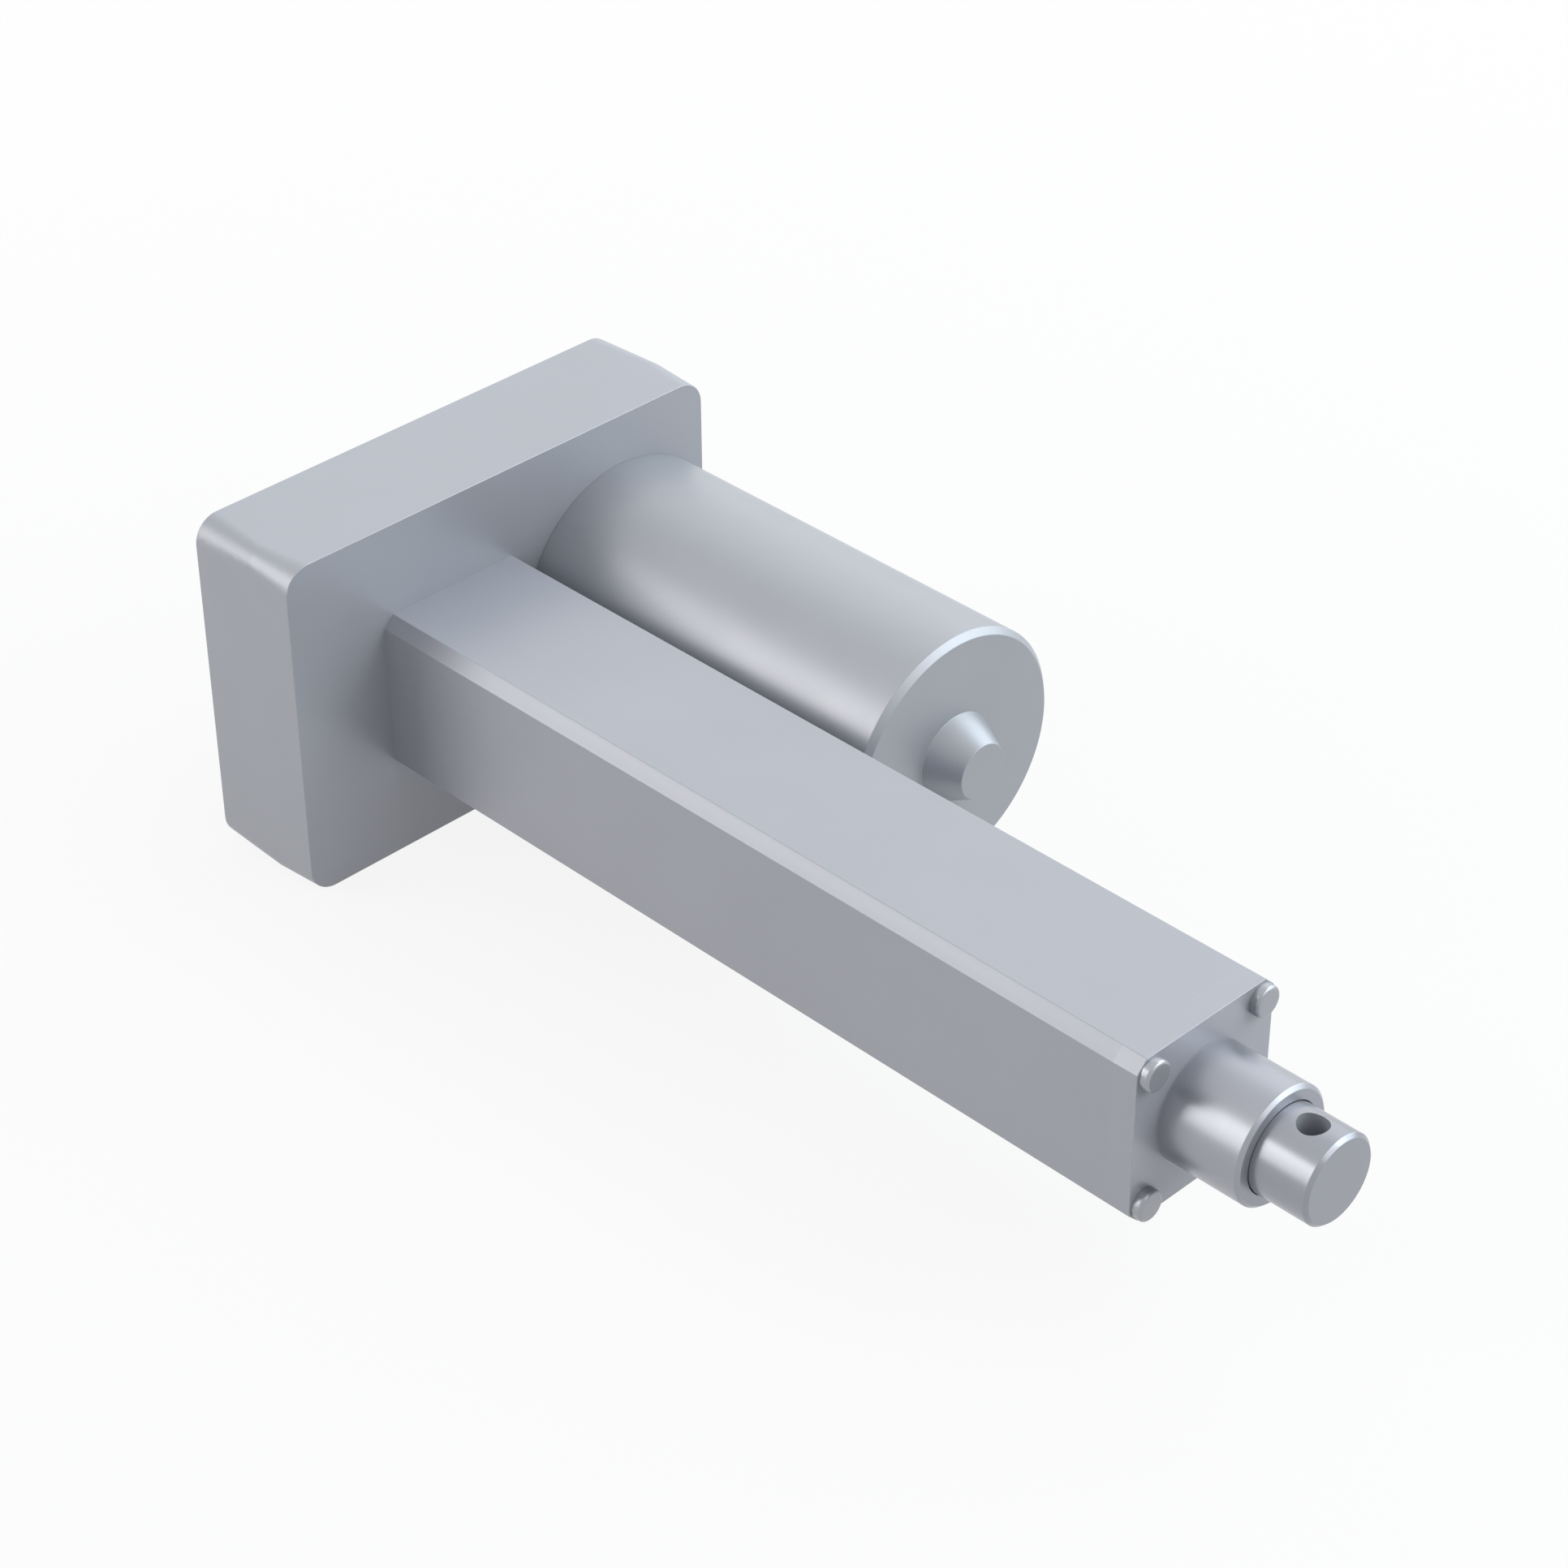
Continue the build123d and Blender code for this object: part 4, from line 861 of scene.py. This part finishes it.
class ACTUATOR_OT_cover_screws(Operator):
    """Draws the six socket-head screws sunk in the gearbox cover."""

    bl_idname = "actuator.cover_screws"
    bl_label = "Cover screws"

    middle_screw_y = 22.0 * MM
    socket_depth = 1.3 * MM
    mouth_depth = 0.15 * MM
    mouth_share = 1.1

    def execute(self, context):
        sizes = context.scene.actuator_sizes
        angles = even_angles(sizes.round_steps // 2)
        hexagon = sizes.hex_key / 2 / np.cos((angles % (np.pi / 3)) - np.pi / 6)
        top, tip = lows["housing_screws"][0], highs["housing_screws"][0]
        seat = top + sizes.screw_head_height
        bottom, mouth = top + self.socket_depth, top + self.mouth_depth
        outline = np.vstack([screw_head(top, seat, sizes), shank(seat, tip, sizes)])
        socket = np.array([(bottom, 0.4), (bottom, 1.0), (mouth, 1.0), (top, self.mouth_share)])
        stations = np.concatenate([socket[:, 0], outline[:, 0]])
        radii = np.vstack([socket[:, 1:] * hexagon, all_round(outline, angles)])
        inset = sizes.screw_head_radius
        low_corner = lows["housing_screws"] + inset
        high_corner = highs["housing_screws"] - inset
        shells = [
            shell(carried_round(stations, radii, angles, (y, z)))
            for y in (low_corner[1], self.middle_screw_y, high_corner[1])
            for z in (low_corner[2], high_corner[2])
        ]
        colour = context.scene.actuator_finishes.fastener_colour
        material = plated_metal("plated_cover_screw", colour, 0.32, metallic=0.6)
        shaded_piece("housing_screws", shells, material)
        return {"FINISHED"}


# The rod, the eyes and the motor can


class ACTUATOR_OT_push_rod(Operator):
    """Draws the rod tube and the end fitting with its chamfered tip and pin hole."""

    bl_idname = "actuator.push_rod"
    bl_label = "Push rod"

    bore_radius = 6.8 * MM

    def execute(self, context):
        sizes = context.scene.actuator_sizes
        colour = context.scene.actuator_finishes.rod_colour
        socket, seam, tip = lows["rod_tube"][0], highs["rod_tube"][0], highs["rod_end"][0]
        pin = tip - sizes.pin_hole_reach
        hole = {"station": pin, "radius": sizes.pin_hole_radius}
        ground = bored_metal("ground_rod", colour, roughness=0.27, marks=0.1, **hole)
        bore = self.bore_radius
        tube_outline = [(socket, bore), (seam, bore), (seam, rod_radius), (socket, rod_radius)]
        tube_outline = rounded_loop(tube_outline, sizes.machined_edge / 2)
        tube = turned(tube_outline, sizes.round_steps, closed=True)
        shaded_piece("rod_tube", [tube], ground)

        spigot_end = lows["rod_end"][0]
        spigot = bore - seat_gap
        end_outline = [
            (spigot_end, 0.5 * spigot),
            (spigot_end, spigot),
            (seam, spigot),
            (seam, rod_radius),
            (tip - sizes.eye_chamfer, rod_radius),
            (tip, rod_radius - sizes.eye_chamfer),
            (tip, 0.5 * rod_radius),
        ]
        eye_piece("rod_end", end_outline, [pin_hole(pin, sizes)], ground, sizes)
        return {"FINISHED"}


class ACTUATOR_OT_rear_eye(Operator):
    """Draws the fixed eye: its pin, its pin hole, its neck and its flange."""

    bl_idname = "actuator.rear_eye"
    bl_label = "Rear eye"

    neck_radius = 12.0 * MM
    flange_thickness = 3.0 * MM
    bolt_circle = 15.0 * MM
    bolt_hole_radius = 1.65 * MM
    bolt_head_radius = 3.05 * MM
    bolt_head_height = 1.6 * MM

    def execute(self, context):
        sizes = context.scene.actuator_sizes
        tip, face = lows["rear_eye"][0], highs["rear_eye"][0]
        flange_radius = highs["rear_eye"][1]
        flange = face - self.flange_thickness
        bush_end = lows["screw_tail_bush"][0]
        bush_seat = highs["screw_tail_bush"][1] + seat_gap
        outline = [
            (tip, 0.5 * rod_radius),
            (tip, rod_radius - sizes.eye_chamfer),
            (tip + sizes.eye_chamfer, rod_radius),
            (rear_face, rod_radius),
            (rear_face, self.neck_radius),
            (flange, self.neck_radius),
            (flange, flange_radius),
            (face, flange_radius),
            (face, bush_seat),
            (bush_end, bush_seat),
            (bush_end, 0.5 * bush_seat),
        ]
        bolt_outline = [
            (flange - MM, self.bolt_hole_radius),
            (face - self.bolt_head_height, self.bolt_hole_radius),
            (face, self.bolt_head_radius),
            (face + MM, self.bolt_head_radius),
        ]
        cutters = [pin_hole(0.0, sizes)]
        for angle in np.radians([45, 135, 225, 315]):
            centre = (self.bolt_circle * np.cos(angle), self.bolt_circle * np.sin(angle))
            cutters.append(turned(bolt_outline, sizes.round_steps // 3, centre))
        colour = context.scene.actuator_finishes.rod_colour
        hole = {"station": 0.0, "radius": sizes.pin_hole_radius}
        material = bored_metal("turned_eye", colour, roughness=0.28, marks=0.4, **hole)
        eye_piece("rear_eye", outline, cutters, material, sizes)
        return {"FINISHED"}


class ACTUATOR_OT_motor_can(Operator):
    """Draws the motor can with its bevelled rim, end wall and conical boss."""

    bl_idname = "actuator.motor_can"
    bl_label = "Motor can"

    rim_chamfer = 1.4 * MM
    cone_length = 8.1 * MM
    cone_base_radius = 10.6 * MM
    cone_tip_radius = 6.6 * MM

    def execute(self, context):
        sizes = context.scene.actuator_sizes
        tip = highs["motor_can"][0]
        rim = tip - self.cone_length
        inner_end, bush_end = lows["motor_rear_bush"][0], highs["motor_rear_bush"][0]
        outline = rounded_corners(
            [
                (tip, 0.5 * self.cone_tip_radius),
                (tip, self.cone_tip_radius),
                (rim, self.cone_base_radius),
                (rim, motor_radius - self.rim_chamfer),
                (rim - self.rim_chamfer, motor_radius),
                (front_face, motor_radius),
                (front_face, motor_inner_radius),
                (inner_end, motor_inner_radius),
                (inner_end, rear_bush_seat),
                (bush_end, rear_bush_seat),
                (bush_end, 0.5 * rear_bush_seat),
            ],
            sizes.machined_edge,
        )
        can = turned(outline, 4 * sizes.round_steps // 3, (motor_axis, 0.0))
        colour = context.scene.actuator_finishes.motor_colour
        material = plated_metal("plated_can", colour, 0.42, metallic=0.50)
        shaded_piece("motor_can", [can], material)
        return {"FINISHED"}


class ACTUATOR_OT_grommet(Operator):
    """Draws the rubber grommet of the cable outlet with rounded lips."""

    bl_idname = "actuator.grommet"
    bl_label = "Cable grommet"

    lip_rounding = 0.6 * MM
    bore_radius = 3.25 * MM
    neck_radius = 6.0 * MM
    inner_lip_radius = 7.5 * MM
    inner_lip_thickness = 1.5 * MM

    def execute(self, context):
        outer, inner = lows["cable_grommet"][0], highs["cable_grommet"][0]
        flange_radius = highs["cable_grommet"][1] - outlet_centre[0]
        wall = inner - self.inner_lip_thickness
        outline = rounded_loop(
            [
                (outer, self.bore_radius),
                (outer, flange_radius),
                (rear_face, flange_radius),
                (rear_face, self.neck_radius),
                (wall, self.neck_radius),
                (wall, self.inner_lip_radius),
                (inner, self.inner_lip_radius),
                (inner, self.bore_radius),
            ],
            self.lip_rounding,
        )
        steps = context.scene.actuator_sizes.round_steps // 2
        ring = turned(outline, steps, outlet_centre, closed=True)
        rubber = moulded("black_rubber", (0.022, 0.022, 0.024), 0.62)
        shaded_piece("cable_grommet", [ring], rubber)
        paint(rubber, "housing_seal")
        paint(moulded("grey_wiper_resin", (0.22, 0.225, 0.24), 0.45), "rod_wiper")
        return {"FINISHED"}


# The drive inside

# Rows of points along the thread for one turn of it
rows_in_turn = 16


class ACTUATOR_OT_lead_screw(Operator):
    """Draws the lead screw with its trapezoid thread, journals, keyway and tapped tip."""

    bl_idname = "actuator.lead_screw"
    bl_label = "Lead screw"

    tail_radius = 4.0 * MM
    tail_chamfer = 0.5 * MM
    journal_radius = 5.0 * MM
    journal_edge = 0.05 * MM
    collar_length = 4.0 * MM
    plain_tip = 1.0 * MM
    tapping_depth = 10.0 * MM
    key_gap = 0.01 * MM

    def execute(self, context):
        sizes = context.scene.actuator_sizes
        angles = even_angles(sizes.round_steps // 3)
        tail, tip = lows["lead_screw"][0], highs["lead_screw"][0]
        collar = highs["bearing_inner_ring"][0]
        thread_start = collar + self.collar_length + sizes.thread_lead / 2
        thread_end = tip - self.plain_tip
        root = sizes.thread_crest - sizes.thread_depth
        ring_seat = self.tail_radius - sizes.ring_groove
        tap = sizes.screw_shank_radius + seat_gap
        groove, groove_end = lows["gear_snap_ring"][0], highs["gear_snap_ring"][0]
        before = [
            (tail, 0.5 * self.tail_radius),
            (tail, self.tail_radius - self.tail_chamfer),
            (tail + self.tail_chamfer, self.tail_radius),
            (groove, self.tail_radius),
            (groove, ring_seat),
            (groove_end, ring_seat),
            (groove_end, self.tail_radius),
            (highs["screw_gear"][0], self.tail_radius),
            (highs["screw_gear"][0], self.journal_radius),
            (collar, self.journal_radius),
            (collar, highs["lead_screw"][1]),
            (collar + self.collar_length, highs["lead_screw"][1]),
            (collar + self.collar_length, root),
        ]
        after = [
            (tip, root),
            (tip, tap),
            (tip - self.tapping_depth, tap),
            (tip - self.tapping_depth, 0.5 * tap),
        ]
        before = rounded_corners(before, self.journal_edge, 2)
        threaded = np.arange(thread_start, thread_end, sizes.thread_lead / rows_in_turn)
        thread = thread_radius(threaded, angles, sizes)
        stations = np.concatenate([before[:, 0], threaded, np.array(after)[:, 0]])
        radii = np.vstack([all_round(before, angles), thread, all_round(after, angles)])
        key_low, key_high = lows["gear_key"] - self.key_gap, highs["gear_key"] + self.key_gap
        keyway = [
            (key_low[0], key_low[1]),
            (key_high[0], key_low[1]),
            (key_high[0], key_high[1]),
            (key_low[0], key_high[1]),
        ]
        plain = mesh_from("lead_screw_surface", [shell(carried_round(stations, radii, angles))])
        keyed = cut(plain, [upright_prism(keyway, key_low[2], key_high[2])])
        steel = turned_metal("rolled_screw_steel", (0.30, 0.29, 0.28), 0.30)
        piece("lead_screw", keyed, steel)
        return {"FINISHED"}


class ACTUATOR_OT_drive_nut(Operator):
    """Draws the bronze nut, whose bore carries the screw's thread with a running gap."""

    bl_idname = "actuator.drive_nut"
    bl_label = "Drive nut"

    body_radius = 13.0 * MM
    thread_gap = 0.06 * MM

    def execute(self, context):
        sizes = context.scene.actuator_sizes
        angles = even_angles(2 * sizes.round_steps // 3)
        rear, front = lows["drive_nut"][0], highs["drive_nut"][0]
        flange_radius, flange = highs["drive_nut"][1], lows["nut_guide"][0]
        groove, groove_end = lows["nut_snap_ring"][0], highs["nut_snap_ring"][0]
        socket = lows["rod_tube"][0]
        socket_radius = rod_radius + seat_gap
        bore = sizes.thread_crest + 2 * self.thread_gap
        ring_seat = self.body_radius - sizes.ring_groove
        outside = rounded_corners(
            [
                (rear, bore),
                (rear, flange_radius),
                (flange, flange_radius),
                (flange, self.body_radius),
                (groove, self.body_radius),
                (groove, ring_seat),
                (groove_end, ring_seat),
                (groove_end, self.body_radius),
                (front, self.body_radius),
                (front, socket_radius),
                (socket, socket_radius),
                (socket, bore),
            ],
            sizes.machined_edge,
        )
        threaded = np.arange(socket, rear, -sizes.thread_lead / rows_in_turn)[1:]
        thread = thread_radius(threaded, angles, sizes) + self.thread_gap
        stations = np.concatenate([outside[:, 0], threaded])
        radii = np.vstack([all_round(outside, angles), thread])
        nut = shell(carried_round(stations, radii, angles), closed_rows=True)
        bronze = turned_metal("turned_bronze", (0.52, 0.32, 0.13), 0.32)
        piece("drive_nut", mesh_from("drive_nut_surface", [nut]), bronze)
        return {"FINISHED"}


class ACTUATOR_OT_drive_finishes(Operator):
    """Finishes the gears, the bearing, the bushes and the small pieces of the drive."""

    bl_idname = "actuator.drive_finishes"
    bl_label = "Drive finishes"

    def execute(self, context):
        gear_steel = turned_metal("hobbed_gear_steel", (0.28, 0.27, 0.26), 0.33)
        paint(gear_steel, "screw_gear", "idler_gear")
        paint(turned_metal("pinion_steel", (0.34, 0.33, 0.32), 0.30), "motor_pinion")
        paint(
            turned_metal("bearing_steel", (0.50, 0.50, 0.50), 0.15, 0.3),
            "bearing_outer_ring",
            "bearing_inner_ring",
            "bearing_balls",
        )
        paint(
            turned_metal("ground_shaft_steel", (0.42, 0.42, 0.42), 0.20, 0.3),
            "motor_shaft",
            "idler_axle",
            "gear_spacer",
            "screw_end_disc",
        )
        paint(
            plated_metal("pressed_sheet_steel", (0.36, 0.36, 0.37), 0.34),
            "bearing_retainer",
            "bearing_cage",
            "gear_key",
            "gear_snap_ring",
            "nut_snap_ring",
        )
        paint(
            plated_metal("blackened_screw_steel", (0.05, 0.05, 0.055), 0.38),
            "rear_eye_screws",
            "retainer_screws",
            "tube_screws",
            "motor_screws",
            "end_disc_screw",
        )
        paint(
            sintered("sintered_bronze", (0.42, 0.25, 0.11), 0.42),
            "screw_tail_bush",
            "guide_bush",
            "motor_front_bush",
            "motor_rear_bush",
            "idler_washers",
        )
        paint(moulded("white_acetal", (0.78, 0.77, 0.73), 0.40, 900.0, 0.01 * MM), "nut_guide")
        return {"FINISHED"}


class ACTUATOR_OT_electric_finishes(Operator):
    """Finishes the motor's inner pieces, the leads and the position sensor."""

    bl_idname = "actuator.electric_finishes"
    bl_label = "Electric finishes"

    def execute(self, context):
        paint(blasted_casting("cast_end_bell", (0.33, 0.33, 0.34)), "motor_end_bell")
        paint(sintered("pressed_ferrite", (0.045, 0.045, 0.048), 0.55), "motor_magnets")
        paint(plated_metal("plated_magnet", (0.50, 0.49, 0.46), 0.22), "position_magnet")
        paint(stacked_sheet("stacked_armature_steel", (0.22, 0.22, 0.23)), "armature_core")
        paint(wound_wire("enamelled_copper_wire", (0.45, 0.16, 0.05)), "armature_windings")
        paint(turned_metal("turned_copper", (0.72, 0.36, 0.22), 0.28), "commutator_bars")
        paint(sintered("pressed_carbon", (0.035, 0.034, 0.034), 0.50), "brushes")
        paint(plated_metal("drawn_brass", (0.60, 0.44, 0.17), 0.30), "brush_holders")
        paint(plated_metal("spring_steel", (0.40, 0.40, 0.41), 0.25), "brush_springs")
        paint(laminate("phenolic_laminate", (0.16, 0.07, 0.03)), "brush_card", "commutator_hub")
        paint(laminate("green_board", (0.02, 0.12, 0.05)), "sensor_strip")
        paint(moulded("black_sensor_resin", (0.02, 0.02, 0.02), 0.45), "end_sensors")
        paint(moulded("lead_insulation", (0.35, 0.02, 0.02), 0.40), "motor_leads")
        paint(moulded("white_nylon", (0.72, 0.71, 0.66), 0.45), "lead_connector")
        return {"FINISHED"}


# The stage


def seen_directly(tree):
    """1 for rays from the camera, from a shiny surface and through glass, otherwise 0."""
    rays = add_node(tree, "ShaderNodeLightPath", {}).outputs
    value = rays["Is Camera Ray"]
    for kind in ("Is Glossy Ray", "Is Transmission Ray"):
        larger = add_node(tree, "ShaderNodeMath", {0: value, 1: rays[kind]}, operation="MAXIMUM")
        value = larger.outputs["Value"]
    return value


def pale_floor(stage, reach=6.0, gap=0.2 * MM, fade_start=0.25, fade_end=0.75):
    """A plain pale floor, a gap under the actuator, that keeps the actuator's shadow.

    It is seen as a mix of its own shading and plain white. The share of white grows to all of
    it between the start and the end of the fade, which are distances from the middle.
    """
    height = cad_box[0][2] - gap
    corners = [(-reach, -reach), (reach, -reach), (reach, reach), (-reach, reach)]
    mesh = bpy.data.meshes.new("floor")
    mesh.from_pydata([(x, y, height) for x, y in corners], [], [(0, 1, 2, 3)])
    made = placed("floor", mesh)
    material = bpy.data.materials.new("pale_floor")
    material.use_nodes = True
    tree = material.node_tree
    tree.nodes.clear()
    away = distance_from(tree, object_place(tree), (*actuator_middle.xy, height))
    fade = carried_over(tree, away, fade_start, fade_end, stage.floor_whiteness, 1.0)
    factors = {0: seen_directly(tree), 1: fade}
    share = add_node(tree, "ShaderNodeMath", factors, operation="MULTIPLY")
    matte = add_node(tree, "ShaderNodeBsdfDiffuse", {"Color": (*stage.floor_colour, 1.0)})
    white = add_node(tree, "ShaderNodeEmission", {})
    mixed = {0: share.outputs["Value"], 1: matte.outputs["BSDF"], 2: white.outputs["Emission"]}
    blend = add_node(tree, "ShaderNodeMixShader", mixed)
    add_node(tree, "ShaderNodeOutputMaterial", {"Surface": blend.outputs["Shader"]})
    mesh.materials.append(material)


def sky(stage):
    """Even light from all round, which shows as plain white where it is seen directly."""
    world = bpy.data.worlds.new("even_sky")
    world.use_nodes = True
    bpy.context.scene.world = world
    tree = world.node_tree
    # A mix of numbers has its share at socket 0 and the two numbers at 2 and 3
    inputs = {0: seen_directly(tree), 2: stage.sky_strength, 3: 1.0}
    strength = add_node(tree, "ShaderNodeMix", inputs)
    background = tree.nodes["Background"]
    background.inputs["Color"].default_value = (1.0, 1.0, 1.0, 1.0)
    tree.links.new(strength.outputs[0], background.inputs["Strength"])


def soft_lamp(name, direction, distance, width, height, radiance, colour):
    """A large soft lamp that faces the actuator's middle from a direction and a distance.

    Its power is its radiance times its area times pi.
    """
    way = Vector(direction).normalized()
    light = bpy.data.lights.new(name, "AREA")
    light.shape = "RECTANGLE"
    light.size = width
    light.size_y = height
    light.color = colour
    light.energy = radiance * width * height * np.pi
    lamp = placed(name, light)
    lamp.location = actuator_middle + distance * way
    lamp.rotation_mode = "QUATERNION"
    lamp.rotation_quaternion = way.to_track_quat("Z", "Y")
    lamp.visible_camera = False


def camera(stage):
    """The camera at the photograph's place, angle and lens."""
    azimuth, elevation = stage.camera_azimuth, stage.camera_elevation
    level = np.cos(elevation)
    back = Vector((np.sin(azimuth) * level, -np.cos(azimuth) * level, np.sin(elevation)))
    lens = bpy.data.cameras.new("photo_camera")
    lens.lens = stage.camera_lens
    lens.sensor_width = 36.0
    lens.clip_start = 0.01
    lens.clip_end = 30.0
    view = placed("photo_camera", lens)
    view.rotation_mode = "QUATERNION"
    roll = Quaternion((0.0, 0.0, 1.0), stage.camera_roll)
    view.rotation_quaternion = (-back).to_track_quat("-Z", "Y") @ roll
    view.location = stage.camera_place
    bpy.context.scene.camera = view


class ACTUATOR_OT_stage(Operator):
    """Sets the floor, the sky, the lamps and the camera."""

    bl_idname = "actuator.stage"
    bl_label = "Stage"

    def execute(self, context):
        stage = context.scene.actuator_stage
        pale_floor(stage)
        sky(stage)
        white, pale_blue, faint_amber = (1.0, 1.0, 1.0), (0.82, 0.96, 1.0), (1.0, 0.975, 0.93)
        # The way to each lamp, its distance, width and height, its brightness and its colour
        lamps = {
            "wide": ((-0.45, 0.72, 0.45), 2.6, 3.4, 2.4, stage.wide_radiance, white),
            "window": ((0.30, 0.75, 0.50), 2.4, 3.2, 2.3, stage.window_radiance, pale_blue),
            "front": ((0.68, 0.32, 0.63), 2.4, 2.3, 1.6, stage.front_radiance, white),
            "key": ((-0.586, -0.72, 0.37), 2.4, 1.3, 1.7, stage.key_radiance, faint_amber),
            "overhead": ((-0.30, 0.0, 0.95), 2.6, 3.0, 3.0, stage.overhead_radiance, white),
        }
        for name, lamp in lamps.items():
            soft_lamp(name + "_lamp", *lamp)
        camera(stage)
        context.scene.view_settings.view_transform = "Standard"
        return {"FINISHED"}


class ACTUATOR_PT_panel(Panel):
    """Lists the actuator's operators and settings in the sidebar."""

    bl_idname = "ACTUATOR_PT_panel"
    bl_label = "Linear actuator"
    bl_space_type = "VIEW_3D"
    bl_region_type = "UI"
    bl_category = "Actuator"

    def draw(self, context):
        for operator in operators:
            self.layout.operator(operator.bl_idname)
        scene = context.scene
        for group in (scene.actuator_sizes, scene.actuator_finishes, scene.actuator_stage):
            for name in group.__annotations__:
                self.layout.prop(group, name)


settings = {
    "actuator_sizes": ActuatorSizes,
    "actuator_finishes": ActuatorFinishes,
    "actuator_stage": ActuatorStage,
}
operators = (
    ACTUATOR_OT_gearbox,
    ACTUATOR_OT_outer_tube,
    ACTUATOR_OT_end_cap,
    ACTUATOR_OT_cap_screws,
    ACTUATOR_OT_cover_screws,
    ACTUATOR_OT_push_rod,
    ACTUATOR_OT_rear_eye,
    ACTUATOR_OT_motor_can,
    ACTUATOR_OT_grommet,
    ACTUATOR_OT_lead_screw,
    ACTUATOR_OT_drive_nut,
    ACTUATOR_OT_drive_finishes,
    ACTUATOR_OT_electric_finishes,
    ACTUATOR_OT_stage,
)


def register():
    """Registers the settings, the operators and the panel."""
    for entry in (*settings.values(), *operators, ACTUATOR_PT_panel):
        bpy.utils.register_class(entry)
    for name, group in settings.items():
        setattr(bpy.types.Scene, name, PointerProperty(type=group))


def unregister():
    """Takes back what register added."""
    for name in settings:
        delattr(bpy.types.Scene, name)
    for entry in reversed((*settings.values(), *operators, ACTUATOR_PT_panel)):
        bpy.utils.unregister_class(entry)


def main():
    """Draws every piece and the stage."""
    register()
    for operator in operators:
        group, call = operator.bl_idname.split(".")
        getattr(getattr(bpy.ops, group), call)()


if __name__ == "__main__":
    main()
